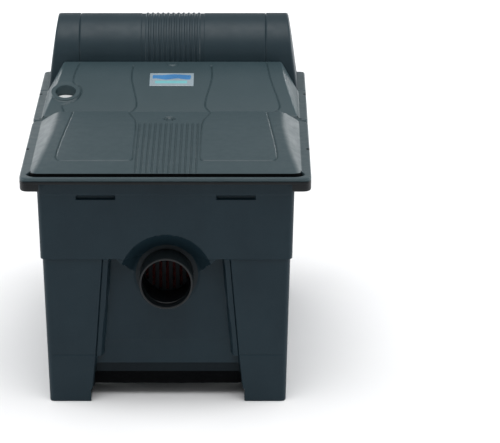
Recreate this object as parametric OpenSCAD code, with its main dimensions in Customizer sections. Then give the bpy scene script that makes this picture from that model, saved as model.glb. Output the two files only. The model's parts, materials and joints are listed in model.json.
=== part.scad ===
// Flow-through box filter for a garden pond: tapered tub on four legs, two lift-off lids,
// a hinged hood over a motor-driven screen belt, foam cartridges, a drawer and a drain.
// Millimetres, +Z up, outlet towards -Y. Inner heights are above the ground plane.

/* [Tub] */
// Width over the rim
rim_w = 590; // [490:1:710]
// Length over the rim, front to back
rim_l = 788; // [656:1:946]
// Height of the lids' border above the ground
rim_z = 500; // [416:1:600]
// Thickness of the rim plate
rim_t = 6; // [4:0.5:8]
// Overhang of the rim past the body at the sides and back
rim_over = 33; // [27:0.5:40]
// Overhang of the rim past the body at the front
rim_front = 20; // [16:0.5:24]
// Wall thickness of the tub
wall = 5; // [4:0.25:6]
// Horizontal run of the walls per millimetre of height
draft = 0.026; // [0.02:0.001:0.032]
// Height of the upper band, from the lids' border down
band_h = 182; // [150:1:218]
// Inward step below the upper band
step_in = 4; // [3:0.25:5]
// Width of a leg at the ground
leg_w = 85.5; // [72:0.5:102]
// Height of the crease where a leg's inner edge turns outwards
leg_crease = 105; // [88:1:126]
// Gap under the tub between the legs
leg_gap = 28; // [23:0.5:34]
// Length of each leg's foot, front to back
leg_l = 100; // [83:1:120]
// Depth of the recessed centre panel behind the rim's front edge
recess_y = 58; // [52:0.5:66]
// Width of the recessed panel at its top
panel_w = 236; // [200:1:270]
// Width of the recessed panel at the legs' crease
panel_low_w = 272; // [230:1:310]
// Distance of the small front pockets' inner ends from the middle
pocket_x0 = 103; // [86:1:120]
// Distance of the small front pockets' outer ends from the middle
pocket_x1 = 182; // [160:1:200]
// Width of the opening under the inner partition
under_w = 400; // [330:1:440]

/* [Lids] */
// Length of the front lid, to the middle of the seam
front_lid_l = 404; // [350:1:485]
// Height of a lid's border
edge_h = 8; // [6:0.5:10]
// Wall thickness of the lids
lid_t = 4; // [3:0.25:5]
// Gap between neighbouring lids
lid_gap = 3; // [2:0.25:4]
// Rise of the front lid's crest
front_rise = 24; // [20:0.5:29]
// Rise of the rear lid's back edge
rear_rise = 67; // [56:0.5:72]
// Distance of the gauge's centre from the tub's side
gauge_side = 33; // [30:0.5:40]
// Distance of the gauge's centre behind the seam
gauge_back = 86; // [75:1:96]
// Side clearance of the locating rib in the tub
lid_fit = 2; // [1:0.25:3]

/* [Hood] */
// Length of the hood, front to back
hood_l = 154; // [146:1:170]
// Height of the hood's straight front wall
hood_wall = 78; // [74:1:94]
// Height of the raised ribs
rib_h = 1.5; // [1:0.1:2]
// Spacing of the ribs
rib_pitch = 11.4; // [9.5:0.1:13.6]
// Radius of the hood's hinge pins
pin_r = 2.5; // [2:0.1:3]

// Distance of the hood's hinges from the middle
hinge_x = 153; // [128:1:184]

/* [Outlet] */
// Outside diameter of the outlet pipe
outlet_d = 110; // [92:0.5:132]
// Depth of the outlet's axis below the lids' border
outlet_drop = 225; // [190:1:245]
// Reach of the outlet past the rim
outlet_proud = 5; // [0:0.5:12]

/* [Inlets] */
// Outside diameter of the hose tails
hose_d = 50; // [42:0.5:60]
// Depth of the inlets below the lids' border
inlet_drop = 75; // [64:1:90]
// Reach of the hose tails past the rim
inlet_proud = 60; // [50:1:72]

/* [Drain] */
// Outside diameter of the drain pipe
drain_d = 75; // [63:0.5:84]
// Lift of the drain gate
gate_lift = 74; // [62:1:88]

/* [Cartridges] */
// Gap between neighbouring foam blocks
foam_gap = 8; // [6:0.5:10]
// Radius of the pull rod
rod_r = 6; // [5:0.25:7.5]

/* [Screen] */
// Depth of the lower roller below the lids' border
screen_drop = 200; // [167:1:240]
// Radius of the two rollers
roller_r = 20; // [16.5:0.25:22]
// Radius of the roller shafts
shaft_r = 8; // [6.5:0.25:9.5]
// Width of the screen belt
belt_w = 360; // [300:1:372]
// Thickness of the screen belt
belt_t = 1.7; // [1.4:0.1:2]
// Teeth of the roller gear
gear_n = 36; // [30:1:43]
// Teeth of the motor pinion
pinion_n = 12; // [10:1:14]
// Gear module
gear_m = 1.5; // [1.25:0.05:1.8]

/* [Fits] */
// Radial clearance of a running fit
run_fit = 0.05; // [0.04:0.01:0.06]
// Clearance of a sliding fit
slide_fit = 0.3; // [0.25:0.05:0.4]

/* [Hidden] */
$fn = 48;
e = 0.01;
y_mid = (rim_l + inlet_proud - outlet_proud) / 2;
rim_b = rim_z - edge_h - rim_t;
rim_u = rim_z - edge_h;
step_z = rim_z - band_h;
body_hw = rim_w / 2 - rim_over;
floor_z = leg_gap + wall;
seam = front_lid_l;
hood_y = rim_l - hood_l;
hood_r = hood_l / 2;
leg_x = hwb(0) - step_in - leg_w;
rec_top = panel_w / 2;
rec_mid = panel_low_w / 2;
out_z = rim_z - outlet_drop;
out_r = outlet_d / 2;
cone_r1 = out_r + 40;
cone_r0 = out_r + 13;
out_in = recess_y + wall;
split_y = out_in + 15;
split_z = floor_z + 9;
split_top = rim_b - 6;
in_z = rim_z - inlet_drop;
hose_r = hose_d / 2;
thr_r = hose_r + 3;
fl_r = hose_r + 10;
in_x = body_hw - fl_r - 9;
rear_end = rim_l + inlet_proud;
dr_r = drain_d / 2;
dr_z = floor_z + dr_r + 15;
beam_w = 24;
beam_h = 18;
ledge_z = rim_u - beam_h;
div_t = 5;
tray_z = floor_z + 27;
tray_t = 6;
base_t = 5;
foam_z0 = tray_z + tray_t + base_t;
foam_z1 = rim_z - 158;
cart_y0 = out_in + 45;
cart_dx = 2 * (hwb(floor_z) - step_in - wall - 6) / 3;
cart_dy = (seam - 14 - cart_y0) / 2;
foam_x = cart_dx - foam_gap;
foam_y = cart_dy - foam_gap;
idl_y = hood_y - 37;
idl_z = rim_z - screen_drop;
drv_y = hood_y + hood_r - 8;
hinge_y = rim_l + 6;
gear_room = hood_l + 6 - lid_t - gear_m * (gear_n / 2 + 1) - 3;
drv_z = rim_u + min(hood_wall, sqrt(gear_room * gear_room - (hinge_y - drv_y) * (hinge_y - drv_y)));
belt_in = roller_r + slide_fit;
belt_out = belt_in + belt_t;
plate_x = belt_w / 2 + 10;
plate_t = 5;
gear_x = plate_x + plate_t + 2;
gear_w = 8;
cd = gear_m * (gear_n + pinion_n) / 2 + 0.2;
mot_z = drv_z - cd;
mot_r = 24;
mot_x = gear_x + gear_w + 3;
dw_hw = 140;
dw_z0 = rim_z - 103;
dw_z1 = rim_z - 37;
dw_y0 = belt_at(dw_z1) + 4.5;
dw_y = yrb(dw_z0) + 5;
ind_x = -body_hw + gauge_side;
ind_y = seam + gauge_back;
ind_r = 22.5;
hinge_r = 5;
rod_top = foam_z1 + 8;

function belt_at(z) = idl_y + ((z - idl_z) * (drv_y - idl_y)
    + belt_out * norm([drv_y - idl_y, drv_z - idl_z])) / (drv_z - idl_z);
function hwb(z) = body_hw - draft * (rim_b - z);
function yfb(z) = rim_front + draft * (rim_b - z);
function yrb(z) = rim_l - rim_over - draft * (rim_b - z);
function front_z(u) = 4 + (front_rise - 4) * (1 - (1 - u) * (1 - u));
function rear_z(u) = 8 + (rear_rise - 8) * (1.73 * u - 0.73 * u * u);
rear_y0 = seam + 11;
rear_y1 = hood_y - 2;
function rear_at(y) = rim_z + rear_z((y - rear_y0) / (rear_y1 - rear_y0));

// Everything is drawn with the rim's front edge at Y 0, then moved to the centred frame.
module place() {
    translate([0, -y_mid, 0]) children();
}

module box(x0, x1, y0, y1, z0, z1) {
    translate([x0, y0, z0]) cube([x1 - x0, y1 - y0, z1 - z0]);
}

module across(x0, x1) {
    translate([x0, 0, 0]) rotate([90, 0, 90]) linear_extrude(x1 - x0) children();
}

module along(y0, y1) {
    translate([0, y1, 0]) rotate([90, 0, 0]) linear_extrude(y1 - y0) children();
}

module rod_y(x, z, r, y0, y1) {
    translate([x, y0, z]) rotate([-90, 0, 0]) cylinder(r = r, h = y1 - y0);
}

module cone_y(x, z, r0, r1, y0, y1) {
    translate([x, y0, z]) rotate([-90, 0, 0]) cylinder(r1 = r0, r2 = r1, h = y1 - y0);
}

module rod_x(y, z, r, x0, x1) {
    translate([x0, y, z]) rotate([0, 90, 0]) cylinder(r = r, h = x1 - x0);
}

module both() {
    children();
    mirror([1, 0, 0]) children();
}

module round_plate(x, y0, y1, r, z0, z1) {
    translate([0, 0, z0]) linear_extrude(z1 - z0) union() {
        translate([-x + r, y0]) square([2 * x - 2 * r, y1 - y0]);
        translate([-x, y0 + r]) square([2 * x, y1 - y0 - 2 * r]);
        for (px = [-x + r, x - r], py = [y0 + r, y1 - r]) translate([px, py]) circle(r);
    }
}

module tub_block(inset, z0, z1, zs) {
    intersection() {
        along(0, rim_l) polygon([
            [-hwb(z0) + step_in + inset, z0], [hwb(z0) - step_in - inset, z0],
            [hwb(zs) - step_in - inset, zs], [hwb(zs) - inset, zs],
            [hwb(z1) - inset, z1], [-hwb(z1) + inset, z1],
            [-hwb(zs) + inset, zs], [-hwb(zs) + step_in + inset, zs]]);
        across(-rim_w, rim_w) polygon([
            [yfb(z0) + step_in + inset, z0], [yrb(z0) - step_in - inset, z0],
            [yrb(zs) - step_in - inset, zs], [yrb(zs) - inset, zs],
            [yrb(z1) - inset, z1], [yfb(z1) + inset, z1],
            [yfb(zs) + inset, zs], [yfb(zs) + step_in + inset, zs]]);
    }
}

module recess(grow) {
    along(-10, recess_y + grow) polygon([
        [-rec_top - grow, step_z - 5 + grow], [rec_top + grow, step_z - 5 + grow],
        [rec_mid + grow, leg_crease], [leg_x + grow, -1], [-leg_x - grow, -1],
        [-rec_mid - grow, leg_crease]]);
}

module mouth(grow) {
    cone_y(0, out_z, cone_r1 + grow + 7, cone_r0 + grow, rim_front - 7, recess_y + min(grow, wall));
}

module brow() {
    along(rim_front + 6, recess_y + e) polygon([
        [-cone_r1 - 6, step_z], [-cone_r1 - 6, step_z - 5],
        [-cone_r0, out_z + 8], [cone_r0, out_z + 8],
        [cone_r1 + 6, step_z - 5], [cone_r1 + 6, step_z]]);
}

// Tub with rim, legs, recessed front and bosses for the pipe fittings
module tub() {
    difference() {
        union() {
            difference() {
                union() {
                    tub_block(0, 0, rim_b, step_z);
                    round_plate(rim_w / 2, 0, rim_l, 14, rim_b, rim_u);
                }
                difference() {
                    recess(0);
                    brow();
                }
                difference() {
                    tub_block(wall, floor_z, rim_z + 5, step_z + wall);
                    recess(wall);
                    mouth(wall + 1);
                }
                box(-leg_x, leg_x, -1, rim_l, -1, leg_gap);
                box(-rim_w, rim_w, leg_l + 37, rim_l - rim_over - leg_l, -1, leg_gap);
                both() for (y = [yfb(0) + 11, rim_l - rim_over - leg_l + 6])
                    box(leg_x + 6, hwb(0) - step_in - wall - 2, y, y + leg_l - 26, 6, floor_z + 1);
            }
            rod_y(0, out_z, out_r + 20, recess_y, out_in);
            both() rod_y(in_x, in_z, fl_r, yrb(in_z) - 10, yrb(in_z) + 4);
            rod_y(0, dr_z, dr_r + 8, yrb(dr_z) - step_in - 10, yrb(dr_z) - step_in + 4);
            box(-dw_hw - 8, dw_hw + 8, yrb(dw_z0) - 8, dw_y, dw_z0 - 9, dw_z1 + 9);
            rod_y(dw_hw + 24, in_z + 44, 12, yrb(in_z) - 8, yrb(in_z) + 3);
            both() for (y = [seam, hood_y - 7])
                box(hwb(rim_b) - wall - 13, hwb(rim_b) - 2, y - 14, y + 14, ledge_z - 10, ledge_z);
            both() {
                rod_x(hinge_y, rim_u, hinge_r, hinge_x, hinge_x + 16);
                box(hinge_x, hinge_x + 16, rim_l - 3, hinge_y, rim_u - 5, rim_u);
            }
        }
        mouth(0);
        rod_y(0, out_z, out_r + 0.5, recess_y - 5, out_in + 5);
        both() rod_y(in_x, in_z, thr_r + 0.5, yrb(in_z) - 20, yrb(in_z) + 20);
        rod_y(0, dr_z, dr_r + 0.5, yrb(dr_z) - 30, yrb(dr_z) + 20);
        box(-dw_hw - 1, dw_hw + 1, yrb(dw_z0) - 20, dw_y + 5, dw_z0 - 1, dw_z1 + 1);
        rod_y(dw_hw + 24, in_z + 44, 6.5, yrb(in_z) - 20, yrb(in_z) + 20);
        both() rod_x(hinge_y, rim_u, pin_r, hinge_x - 1, hinge_x + 17);
        both() along(0, rim_front + 3.5) polygon([
            [pocket_x0, rim_z - 53], [pocket_x1, rim_z - 53],
            [pocket_x1 - 3, rim_z - 44], [pocket_x0 + 3, rim_z - 44]]);
    }
}

// Sides, back and rim of the tub
module container() {
    color([0.09, 0.11, 0.14]) place() difference() {
        tub();
        box(-rim_w, rim_w, -10, rim_l, -10, split_z);
        box(-rim_w, rim_w, -10, split_y, split_z - 1, split_top);
    }
}

// Front wall of the tub, with the recess and the mouth of the outlet
module tub_front() {
    color([0.09, 0.11, 0.14]) place() intersection() {
        tub();
        box(-rim_w, rim_w, -10, split_y, split_z, split_top);
    }
}

// Floor and legs of the tub
module tub_base() {
    color([0.09, 0.11, 0.14]) place() intersection() {
        tub();
        box(-rim_w, rim_w, -10, rim_l, -10, split_z);
    }
}

module rim_grip() {
    box(rim_w / 2 - 4, rim_w / 2, 10, rim_l - 10, rim_b - 14, rim_b);
    box(body_hw + 2, rim_w / 2 - 10, 1, 5, rim_b - 14, rim_b);
    box(body_hw + 2, rim_w / 2 - 10, rim_l - 5, rim_l - 1, rim_b - 14, rim_b);
    for (y = [10, rim_l - 10]) intersection() {
        difference() {
            translate([rim_w / 2 - 10, y, rim_b - 14]) cylinder(r = 10, h = 14);
            translate([rim_w / 2 - 10, y, rim_b - 15]) cylinder(r = 6, h = 16);
        }
        box(rim_w / 2 - 10, rim_w / 2, y < 50 ? 0 : y, y < 50 ? y : rim_l, 0, rim_z);
    }
    for (y = [1, 2, 3, 4, 5, 6, 7])
        box(body_hw + 1, rim_w / 2 - 4, y * rim_l / 8 - 1.5, y * rim_l / 8 + 1.5, rim_b - 12, rim_b);
}

// Skirts under the rim, used as hand grips
module rim_grip_right() {
    color([0.05, 0.06, 0.07]) place() rim_grip();
}

module rim_grip_left() {
    color([0.05, 0.06, 0.07]) place() mirror([1, 0, 0]) rim_grip();
}

module beam(y0, y1) {
    difference() {
        box(-hwb(rim_b) + wall + 1, hwb(rim_b) - wall - 1, y0, y1, ledge_z, rim_u);
        box(-hwb(rim_b) + wall + 16, hwb(rim_b) - wall - 16, y0 + 3, y1 - 3, ledge_z - 1, rim_u - 3);
    }
}

// Cross beams that carry the lids where they meet
module lid_beam_front() {
    color([0.07, 0.08, 0.1]) place() beam(seam - beam_w / 2, seam + beam_w / 2);
}

module lid_beam_rear() {
    color([0.07, 0.08, 0.1]) place() beam(hood_y - 16, hood_y + 2);
}

// Partition between the screen chamber and the foam chamber
module chamber_divider() {
    color([0.12, 0.14, 0.17]) place() difference() {
        intersection() {
            tub_block(wall + 0.5, floor_z, ledge_z - 12, step_z + wall + 1);
            box(-rim_w, rim_w, seam - div_t / 2, seam + div_t / 2, floor_z, ledge_z - 12);
        }
        box(-under_w / 2, under_w / 2, seam - 10, seam + 10, floor_z - 1, tray_z - 2);
    }
}

// Slotted tray that keeps the cartridges off the floor
module cartridge_tray() {
    color([0.15, 0.17, 0.2]) place() difference() {
        union() {
            box(-1.5 * cart_dx, 1.5 * cart_dx, out_in + 6, seam - 12, tray_z, tray_z + tray_t);
            for (s = [-1, 1])
                box(s * 1.5 * cart_dx - (s > 0 ? 6 : 0), s * 1.5 * cart_dx + (s > 0 ? 0 : 6),
                    out_in + 10, seam - 16, floor_z, tray_z);
            box(-3, 3, out_in + 10, seam - 16, floor_z, tray_z);
        }
        for (ix = [-1, 0, 1], iy = [0, 1], s = [-2, -1, 1, 2])
            translate([ix * cart_dx + s * 24, cart_y0 + (iy + 0.5) * cart_dy, tray_z - 1])
                translate([-6, -foam_y / 2 + 12, 0]) cube([12, foam_y - 24, tray_t + 2]);
    }
}

function cart_x(i) = (i % 3 - 1) * cart_dx;
function cart_y(i) = cart_y0 + (floor(i / 3) + 0.5) * cart_dy;

module foam(i) {
    place() translate([cart_x(i), cart_y(i), foam_z0]) difference() {
        translate([-foam_x / 2, -foam_y / 2, 0]) cube([foam_x, foam_y, foam_z1 - foam_z0]);
        translate([0, 0, -1]) cylinder(r = rod_r + 0.5, h = foam_z1 - foam_z0 + 2);
    }
}

// Foam blocks of the six cartridges
module foam_1() {
    color([0.1, 0.2, 0.45]) foam(0);
}

module foam_2() {
    color([0.5, 0.1, 0.1]) foam(1);
}

module foam_3() {
    color([0.1, 0.2, 0.45]) foam(2);
}

module foam_4() {
    color([0.5, 0.1, 0.1]) foam(3);
}

module foam_5() {
    color([0.1, 0.2, 0.45]) foam(4);
}

module foam_6() {
    color([0.5, 0.1, 0.1]) foam(5);
}

module carrier(i) {
    place() translate([cart_x(i), cart_y(i), 0]) {
        difference() {
            translate([-foam_x / 2, -foam_y / 2, foam_z0 - base_t]) cube([foam_x, foam_y, base_t]);
            for (s = [-2, -1, 1, 2])
                translate([s * 24 - 6, -foam_y / 2 + 12, foam_z0 - base_t - 1])
                    cube([12, foam_y - 24, base_t + 2]);
        }
        translate([0, 0, foam_z0 - 1]) cylinder(r = rod_r, h = rod_top - foam_z0 + 1);
        translate([-foam_x / 2 + 12, -20, foam_z1]) cube([foam_x - 24, 40, 8]);
        for (s = [-1, 1]) translate([s * 42 - 4, -5, rod_top - 1]) cube([8, 10, 41]);
        translate([-46, -8, rod_top + 36]) cube([92, 16, 12]);
    }
}

// Cartridge carriers: base grid, pull rod, top bar and handle
module carrier_1() {
    color([0.2, 0.22, 0.25]) carrier(0);
}

module carrier_2() {
    color([0.2, 0.22, 0.25]) carrier(1);
}

module carrier_3() {
    color([0.2, 0.22, 0.25]) carrier(2);
}

module carrier_4() {
    color([0.2, 0.22, 0.25]) carrier(3);
}

module carrier_5() {
    color([0.2, 0.22, 0.25]) carrier(4);
}

module carrier_6() {
    color([0.2, 0.22, 0.25]) carrier(5);
}

// Outlet pipe with its flange, gasket, locknut and inner strainer
module outlet_spigot() {
    color([0.07, 0.08, 0.09]) place() difference() {
        union() {
            rod_y(0, out_z, out_r, -outlet_proud, out_in + 32);
            rod_y(0, out_z, out_r + 9, recess_y - 7, recess_y - 2);
        }
        rod_y(0, out_z, out_r - 4.5, -outlet_proud - 1, out_in + 33);
    }
}

module outlet_gasket() {
    color([0.03, 0.03, 0.03]) place() difference() {
        rod_y(0, out_z, out_r + 9, recess_y - 2, recess_y);
        rod_y(0, out_z, out_r, recess_y - 3, recess_y + 1);
    }
}

module outlet_locknut() {
    color([0.1, 0.11, 0.12]) place() difference() {
        union() {
            rod_y(0, out_z, out_r + 10, out_in, out_in + 12);
            for (a = [0 : 45 : 315])
                translate([0, out_in, out_z]) rotate([0, a, 0])
                    translate([-5, 0, out_r + 4]) cube([10, 12, 11]);
        }
        rod_y(0, out_z, out_r, out_in - 1, out_in + 13);
    }
}

module outlet_strainer() {
    color([0.12, 0.13, 0.15]) place() difference() {
        rod_y(0, out_z, out_r + 4, out_in + 13, out_in + 39);
        rod_y(0, out_z, out_r + 0.1, out_in + 12, out_in + 36);
        for (x = [-3, -2, -1, 0, 1, 2, 3])
            box(x * 14 - 3, x * 14 + 3, out_in + 30, out_in + 45,
                out_z - sqrt(max(out_r * out_r * 0.81 - x * x * 196, 100)),
                out_z + sqrt(max(out_r * out_r * 0.81 - x * x * 196, 100)));
    }
}

in_d = yrb(in_z) + 4;

module inlet_body() {
    difference() {
        union() {
            rod_y(in_x, in_z, thr_r, in_d - 26, in_d + 23);
            rod_y(in_x, in_z, fl_r, in_d + 2, in_d + 7);
            rod_y(in_x, in_z, fl_r, in_d - 23, in_d - 14);
        }
        rod_y(in_x, in_z, hose_r - 4, in_d - 27, in_d + 24);
    }
}

// Two pond inlets: bulkhead body, gasket, union nut and hose tail
module inlet_body_right() {
    color([0.08, 0.09, 0.1]) place() inlet_body();
}

module inlet_body_left() {
    color([0.08, 0.09, 0.1]) place() mirror([1, 0, 0]) inlet_body();
}

module inlet_gasket() {
    difference() {
        rod_y(in_x, in_z, fl_r, in_d, in_d + 2);
        rod_y(in_x, in_z, thr_r, in_d - 1, in_d + 3);
    }
}

module inlet_gasket_right() {
    color([0.03, 0.03, 0.03]) place() inlet_gasket();
}

module inlet_gasket_left() {
    color([0.03, 0.03, 0.03]) place() mirror([1, 0, 0]) inlet_gasket();
}

module inlet_nut() {
    difference() {
        union() {
            rod_y(in_x, in_z, fl_r - 2, in_d + 7.5, in_d + 35);
            for (a = [0 : 30 : 330])
                translate([in_x, in_d + 9, in_z]) rotate([0, a, 0])
                    translate([-3, 0, fl_r - 6]) cube([6, 24, 5]);
        }
        rod_y(in_x, in_z, thr_r + run_fit, in_d + 7, in_d + 29.3);
        rod_y(in_x, in_z, hose_r + slide_fit, in_d + 28, in_d + 36);
    }
}

module inlet_nut_right() {
    color([0.06, 0.07, 0.08]) place() inlet_nut();
}

module inlet_nut_left() {
    color([0.06, 0.07, 0.08]) place() mirror([1, 0, 0]) inlet_nut();
}

module hose_tail() {
    difference() {
        union() {
            rod_y(in_x, in_z, thr_r - 0.2, in_d + 23, in_d + 29);
            rod_y(in_x, in_z, hose_r - 0.6, in_d + 28, in_d + 37);
            rod_y(in_x, in_z, hose_r, in_d + 36.5, in_d + 51.5);
            rod_y(in_x, in_z, hose_r - 2.5, in_d + 28, rear_end);
            for (k = [0, 1, 2])
                cone_y(in_x, in_z, hose_r, hose_r - 2.5, in_d + 51.5 + k * (rear_end - in_d - 51.5) / 3,
                    in_d + 51.5 + (k + 1) * (rear_end - in_d - 51.5) / 3);
        }
        rod_y(in_x, in_z, hose_r - 6, in_d + 22, rear_end + 1);
    }
}

module hose_tail_right() {
    color([0.08, 0.09, 0.1]) place() hose_tail();
}

module hose_tail_left() {
    color([0.08, 0.09, 0.1]) place() mirror([1, 0, 0]) hose_tail();
}

dist_r = hose_r - 4.2;
dist_y = hood_y - 74;

// Pipe that spreads the pond water along the screen
module distributor_pipe() {
    color([0.16, 0.18, 0.2]) place() difference() {
        union() {
            both() rod_y(in_x, in_z, dist_r, dist_y, in_d - 14);
            rod_x(dist_y, in_z, dist_r, -in_x, in_x);
            for (s = [-1, 1]) translate([s * in_x, dist_y, in_z]) sphere(r = dist_r);
        }
        both() rod_y(in_x, in_z, dist_r - 2.2, dist_y, in_d);
        rod_x(dist_y, in_z, dist_r - 2.2, -in_x, in_x);
        for (s = [-1, 1]) translate([s * in_x, dist_y, in_z]) sphere(r = dist_r - 2.2);
        for (k = [-8 : 8]) box(k * 20 - 4, k * 20 + 4, dist_y, dist_y + 40, in_z - 5, in_z + 5);
    }
}

module screen_plate() {
    difference() {
        across(plate_x, plate_x + plate_t) union() {
            polygon([[idl_y - 30, floor_z], [idl_y + 40, floor_z], [idl_y + 40, idl_z - 30],
                [drv_y + 40, rim_z], [drv_y + 40, drv_z + 15], [drv_y - 20, drv_z + 15],
                [drv_y - 28, drv_z - 12], [drv_y - 40, rim_z], [idl_y - 30, idl_z + 30]]);
        }
        rod_x(idl_y, idl_z, shaft_r + run_fit, 0, rim_w);
        rod_x(drv_y, drv_z, shaft_r + run_fit, 0, rim_w);
        across(0, rim_w) polygon([[idl_y - 14, floor_z + 30], [idl_y + 24, floor_z + 30],
            [idl_y + 24, idl_z - 60], [idl_y - 14, idl_z - 60]]);
    }
}

// Side plates that carry the two rollers
module screen_frame_right() {
    color([0.35, 0.37, 0.38]) place() screen_plate();
}

module screen_frame_left() {
    color([0.35, 0.37, 0.38]) place() mirror([1, 0, 0]) screen_plate();
}

module loop2d(r) {
    a = atan2(drv_z - idl_z, drv_y - idl_y);
    n = 16;
    polygon(concat(
        [for (i = [0 : n]) [idl_y + r * cos(a + 90 + 180 * i / n), idl_z + r * sin(a + 90 + 180 * i / n)]],
        [for (i = [0 : n]) [drv_y + r * cos(a - 90 + 180 * i / n), drv_z + r * sin(a - 90 + 180 * i / n)]]));
}

// Endless screen belt round both rollers
module screen_belt() {
    color([0.5, 0.52, 0.54]) place() difference() {
        across(-belt_w / 2, belt_w / 2) loop2d(belt_out);
        across(-belt_w, belt_w) loop2d(belt_in);
    }
}

module drive_roller() {
    color([0.25, 0.26, 0.28]) place() union() {
        rod_x(drv_y, drv_z, roller_r, -belt_w / 2 - 4, belt_w / 2 + 4);
        rod_x(drv_y, drv_z, shaft_r, -plate_x - plate_t - 3, gear_x + gear_w + 1);
    }
}

module idler_roller() {
    color([0.25, 0.26, 0.28]) place() union() {
        rod_x(idl_y, idl_z, roller_r, -belt_w / 2 - 4, belt_w / 2 + 4);
        rod_x(idl_y, idl_z, shaft_r, -plate_x - plate_t - 1, plate_x + plate_t + 1);
    }
}

module gear2d(n, turn) {
    rp = gear_m * n / 2;
    rotate(turn) union() {
        circle(rp - 1.2 * gear_m, $fn = 96);
        for (k = [0 : n - 1]) rotate(k * 360 / n) polygon([
            [rp - 1.5 * gear_m, -0.95 * gear_m], [rp - 0.2, -0.68 * gear_m],
            [rp + 0.85 * gear_m, -0.28 * gear_m], [rp + 0.85 * gear_m, 0.28 * gear_m],
            [rp - 0.2, 0.68 * gear_m], [rp - 1.5 * gear_m, 0.95 * gear_m]]);
    }
}

// Gear pair between the motor and the drive roller
module roller_gear() {
    color([0.7, 0.7, 0.66]) place() difference() {
        across(gear_x, gear_x + gear_w) translate([drv_y, drv_z]) gear2d(gear_n, -90);
        rod_x(drv_y, drv_z, shaft_r, gear_x - 1, gear_x + gear_w + 1);
    }
}

module motor_pinion() {
    color([0.7, 0.7, 0.66]) place() union() {
        across(gear_x, gear_x + gear_w) translate([drv_y, mot_z]) gear2d(pinion_n, 90 + 180 / pinion_n);
        rod_x(drv_y, mot_z, 4, gear_x - 1, mot_x + 12);
    }
}

module motor_housing() {
    color([0.1, 0.11, 0.12]) place() difference() {
        union() {
            rod_x(drv_y, mot_z, mot_r, mot_x, mot_x + 36);
            box(mot_x, mot_x + 5, drv_y - 36, drv_y + 36, mot_z - 26, mot_z + 2);
            for (s = [-30, 30])
                rod_x(drv_y + s, mot_z - 17, 5, plate_x + plate_t, mot_x + 5);
        }
        rod_x(drv_y, mot_z, 4 + run_fit, mot_x - 1, mot_x + 13);
    }
}

// Scraper that strips the belt above the drawer
module scraper_bar() {
    color([0.3, 0.31, 0.33]) place()
        box(-plate_x, plate_x, drv_y + belt_out + 5, drv_y + belt_out + 17, drv_z - 17, drv_z - 3);
}

module scraper_lip() {
    color([0.04, 0.04, 0.04]) place()
        box(-belt_w / 2, belt_w / 2, drv_y + belt_out + slide_fit, drv_y + belt_out + 17,
            drv_z - 3, drv_z);
}

// Sleeve and pull-out drawer for the debris
module drawer_housing() {
    color([0.12, 0.13, 0.15]) place() difference() {
        box(-dw_hw - 3.5, dw_hw + 3.5, dw_y0 - 4, yrb(dw_z0) - 8, dw_z0 - 4, dw_z1 - 2);
        box(-dw_hw - slide_fit, dw_hw + slide_fit, dw_y0 - slide_fit, dw_y + 1,
            dw_z0 - slide_fit, dw_z1 + 5);
    }
}

module debris_drawer() {
    color([0.14, 0.16, 0.19]) place() union() {
        difference() {
            box(-dw_hw, dw_hw, dw_y0, dw_y + 2, dw_z0, dw_z1 - 3);
            box(-dw_hw + 3, dw_hw - 3, dw_y0 + 3, dw_y - 3, dw_z0 + 3, dw_z1 + 1);
        }
        box(-dw_hw - 7, dw_hw + 7, dw_y + 0.3, dw_y + 6.3, dw_z0 - 8, dw_z1 + 8);
        for (s = [-1, 1]) box(s * 45 - 4, s * 45 + 4, dw_y + 6, dw_y + 27, dw_z0 + 26, dw_z0 + 40);
        box(-49, 49, dw_y + 22, dw_y + 30, dw_z0 + 26, dw_z0 + 40);
    }
}

dr_d = yrb(dr_z) - step_in + 4;
gate_hw = dr_r + 3;

// Drain: slide valve, locknut, gate, handle and pipe end
module drain_valve_body() {
    color([0.1, 0.11, 0.12]) place() difference() {
        union() {
            rod_y(0, dr_z, dr_r, dr_d - 26, dr_d + 1);
            box(-gate_hw - 8, gate_hw + 8, dr_d, dr_d + 30, dr_z - gate_hw - 8, dr_z + gate_hw + 8);
        }
        rod_y(0, dr_z, dr_r - 3.5, dr_d - 27, dr_d + 31);
        box(-gate_hw - slide_fit, gate_hw + slide_fit, dr_d + 13 - slide_fit, dr_d + 17 + slide_fit,
            dr_z - gate_hw - slide_fit, dr_z + gate_hw + 9);
    }
}

module drain_locknut() {
    color([0.1, 0.11, 0.12]) place() difference() {
        rod_y(0, dr_z, dr_r + 8, dr_d - 24, dr_d - 14);
        rod_y(0, dr_z, dr_r, dr_d - 25, dr_d - 13);
    }
}

module drain_gate() {
    color([0.55, 0.56, 0.58]) place() box(-gate_hw, gate_hw, dr_d + 13, dr_d + 17,
        dr_z - gate_hw, dr_z + gate_hw + 16);
}

module drain_handle() {
    color([0.5, 0.06, 0.05]) place() difference() {
        box(-gate_hw, gate_hw, dr_d + 8, dr_d + 22, dr_z + gate_hw + 16, dr_z + gate_hw + 32);
        box(-22, 22, dr_d + 5, dr_d + 25, dr_z + gate_hw + 20, dr_z + gate_hw + 27);
    }
}

module drain_spigot() {
    color([0.1, 0.11, 0.12]) place() difference() {
        union() {
            rod_y(0, dr_z, dr_r, dr_d + 30, rear_end);
            rod_y(0, dr_z, dr_r + 7, dr_d + 30, dr_d + 36);
        }
        rod_y(0, dr_z, dr_r - 3.5, dr_d + 29, rear_end + 1);
    }
}

// Gland for the motor's supply
module cable_gland() {
    color([0.05, 0.05, 0.06]) place() difference() {
        union() {
            rod_y(dw_hw + 24, in_z + 44, 6.4, yrb(in_z) - 14, yrb(in_z) + 18);
            rod_y(dw_hw + 24, in_z + 44, 10, yrb(in_z) + 3, yrb(in_z) + 8);
            rod_y(dw_hw + 24, in_z + 44, 8.5, yrb(in_z) + 8, yrb(in_z) + 18);
        }
        rod_y(dw_hw + 24, in_z + 44, 3.5, yrb(in_z) - 15, yrb(in_z) + 19);
    }
}

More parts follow.
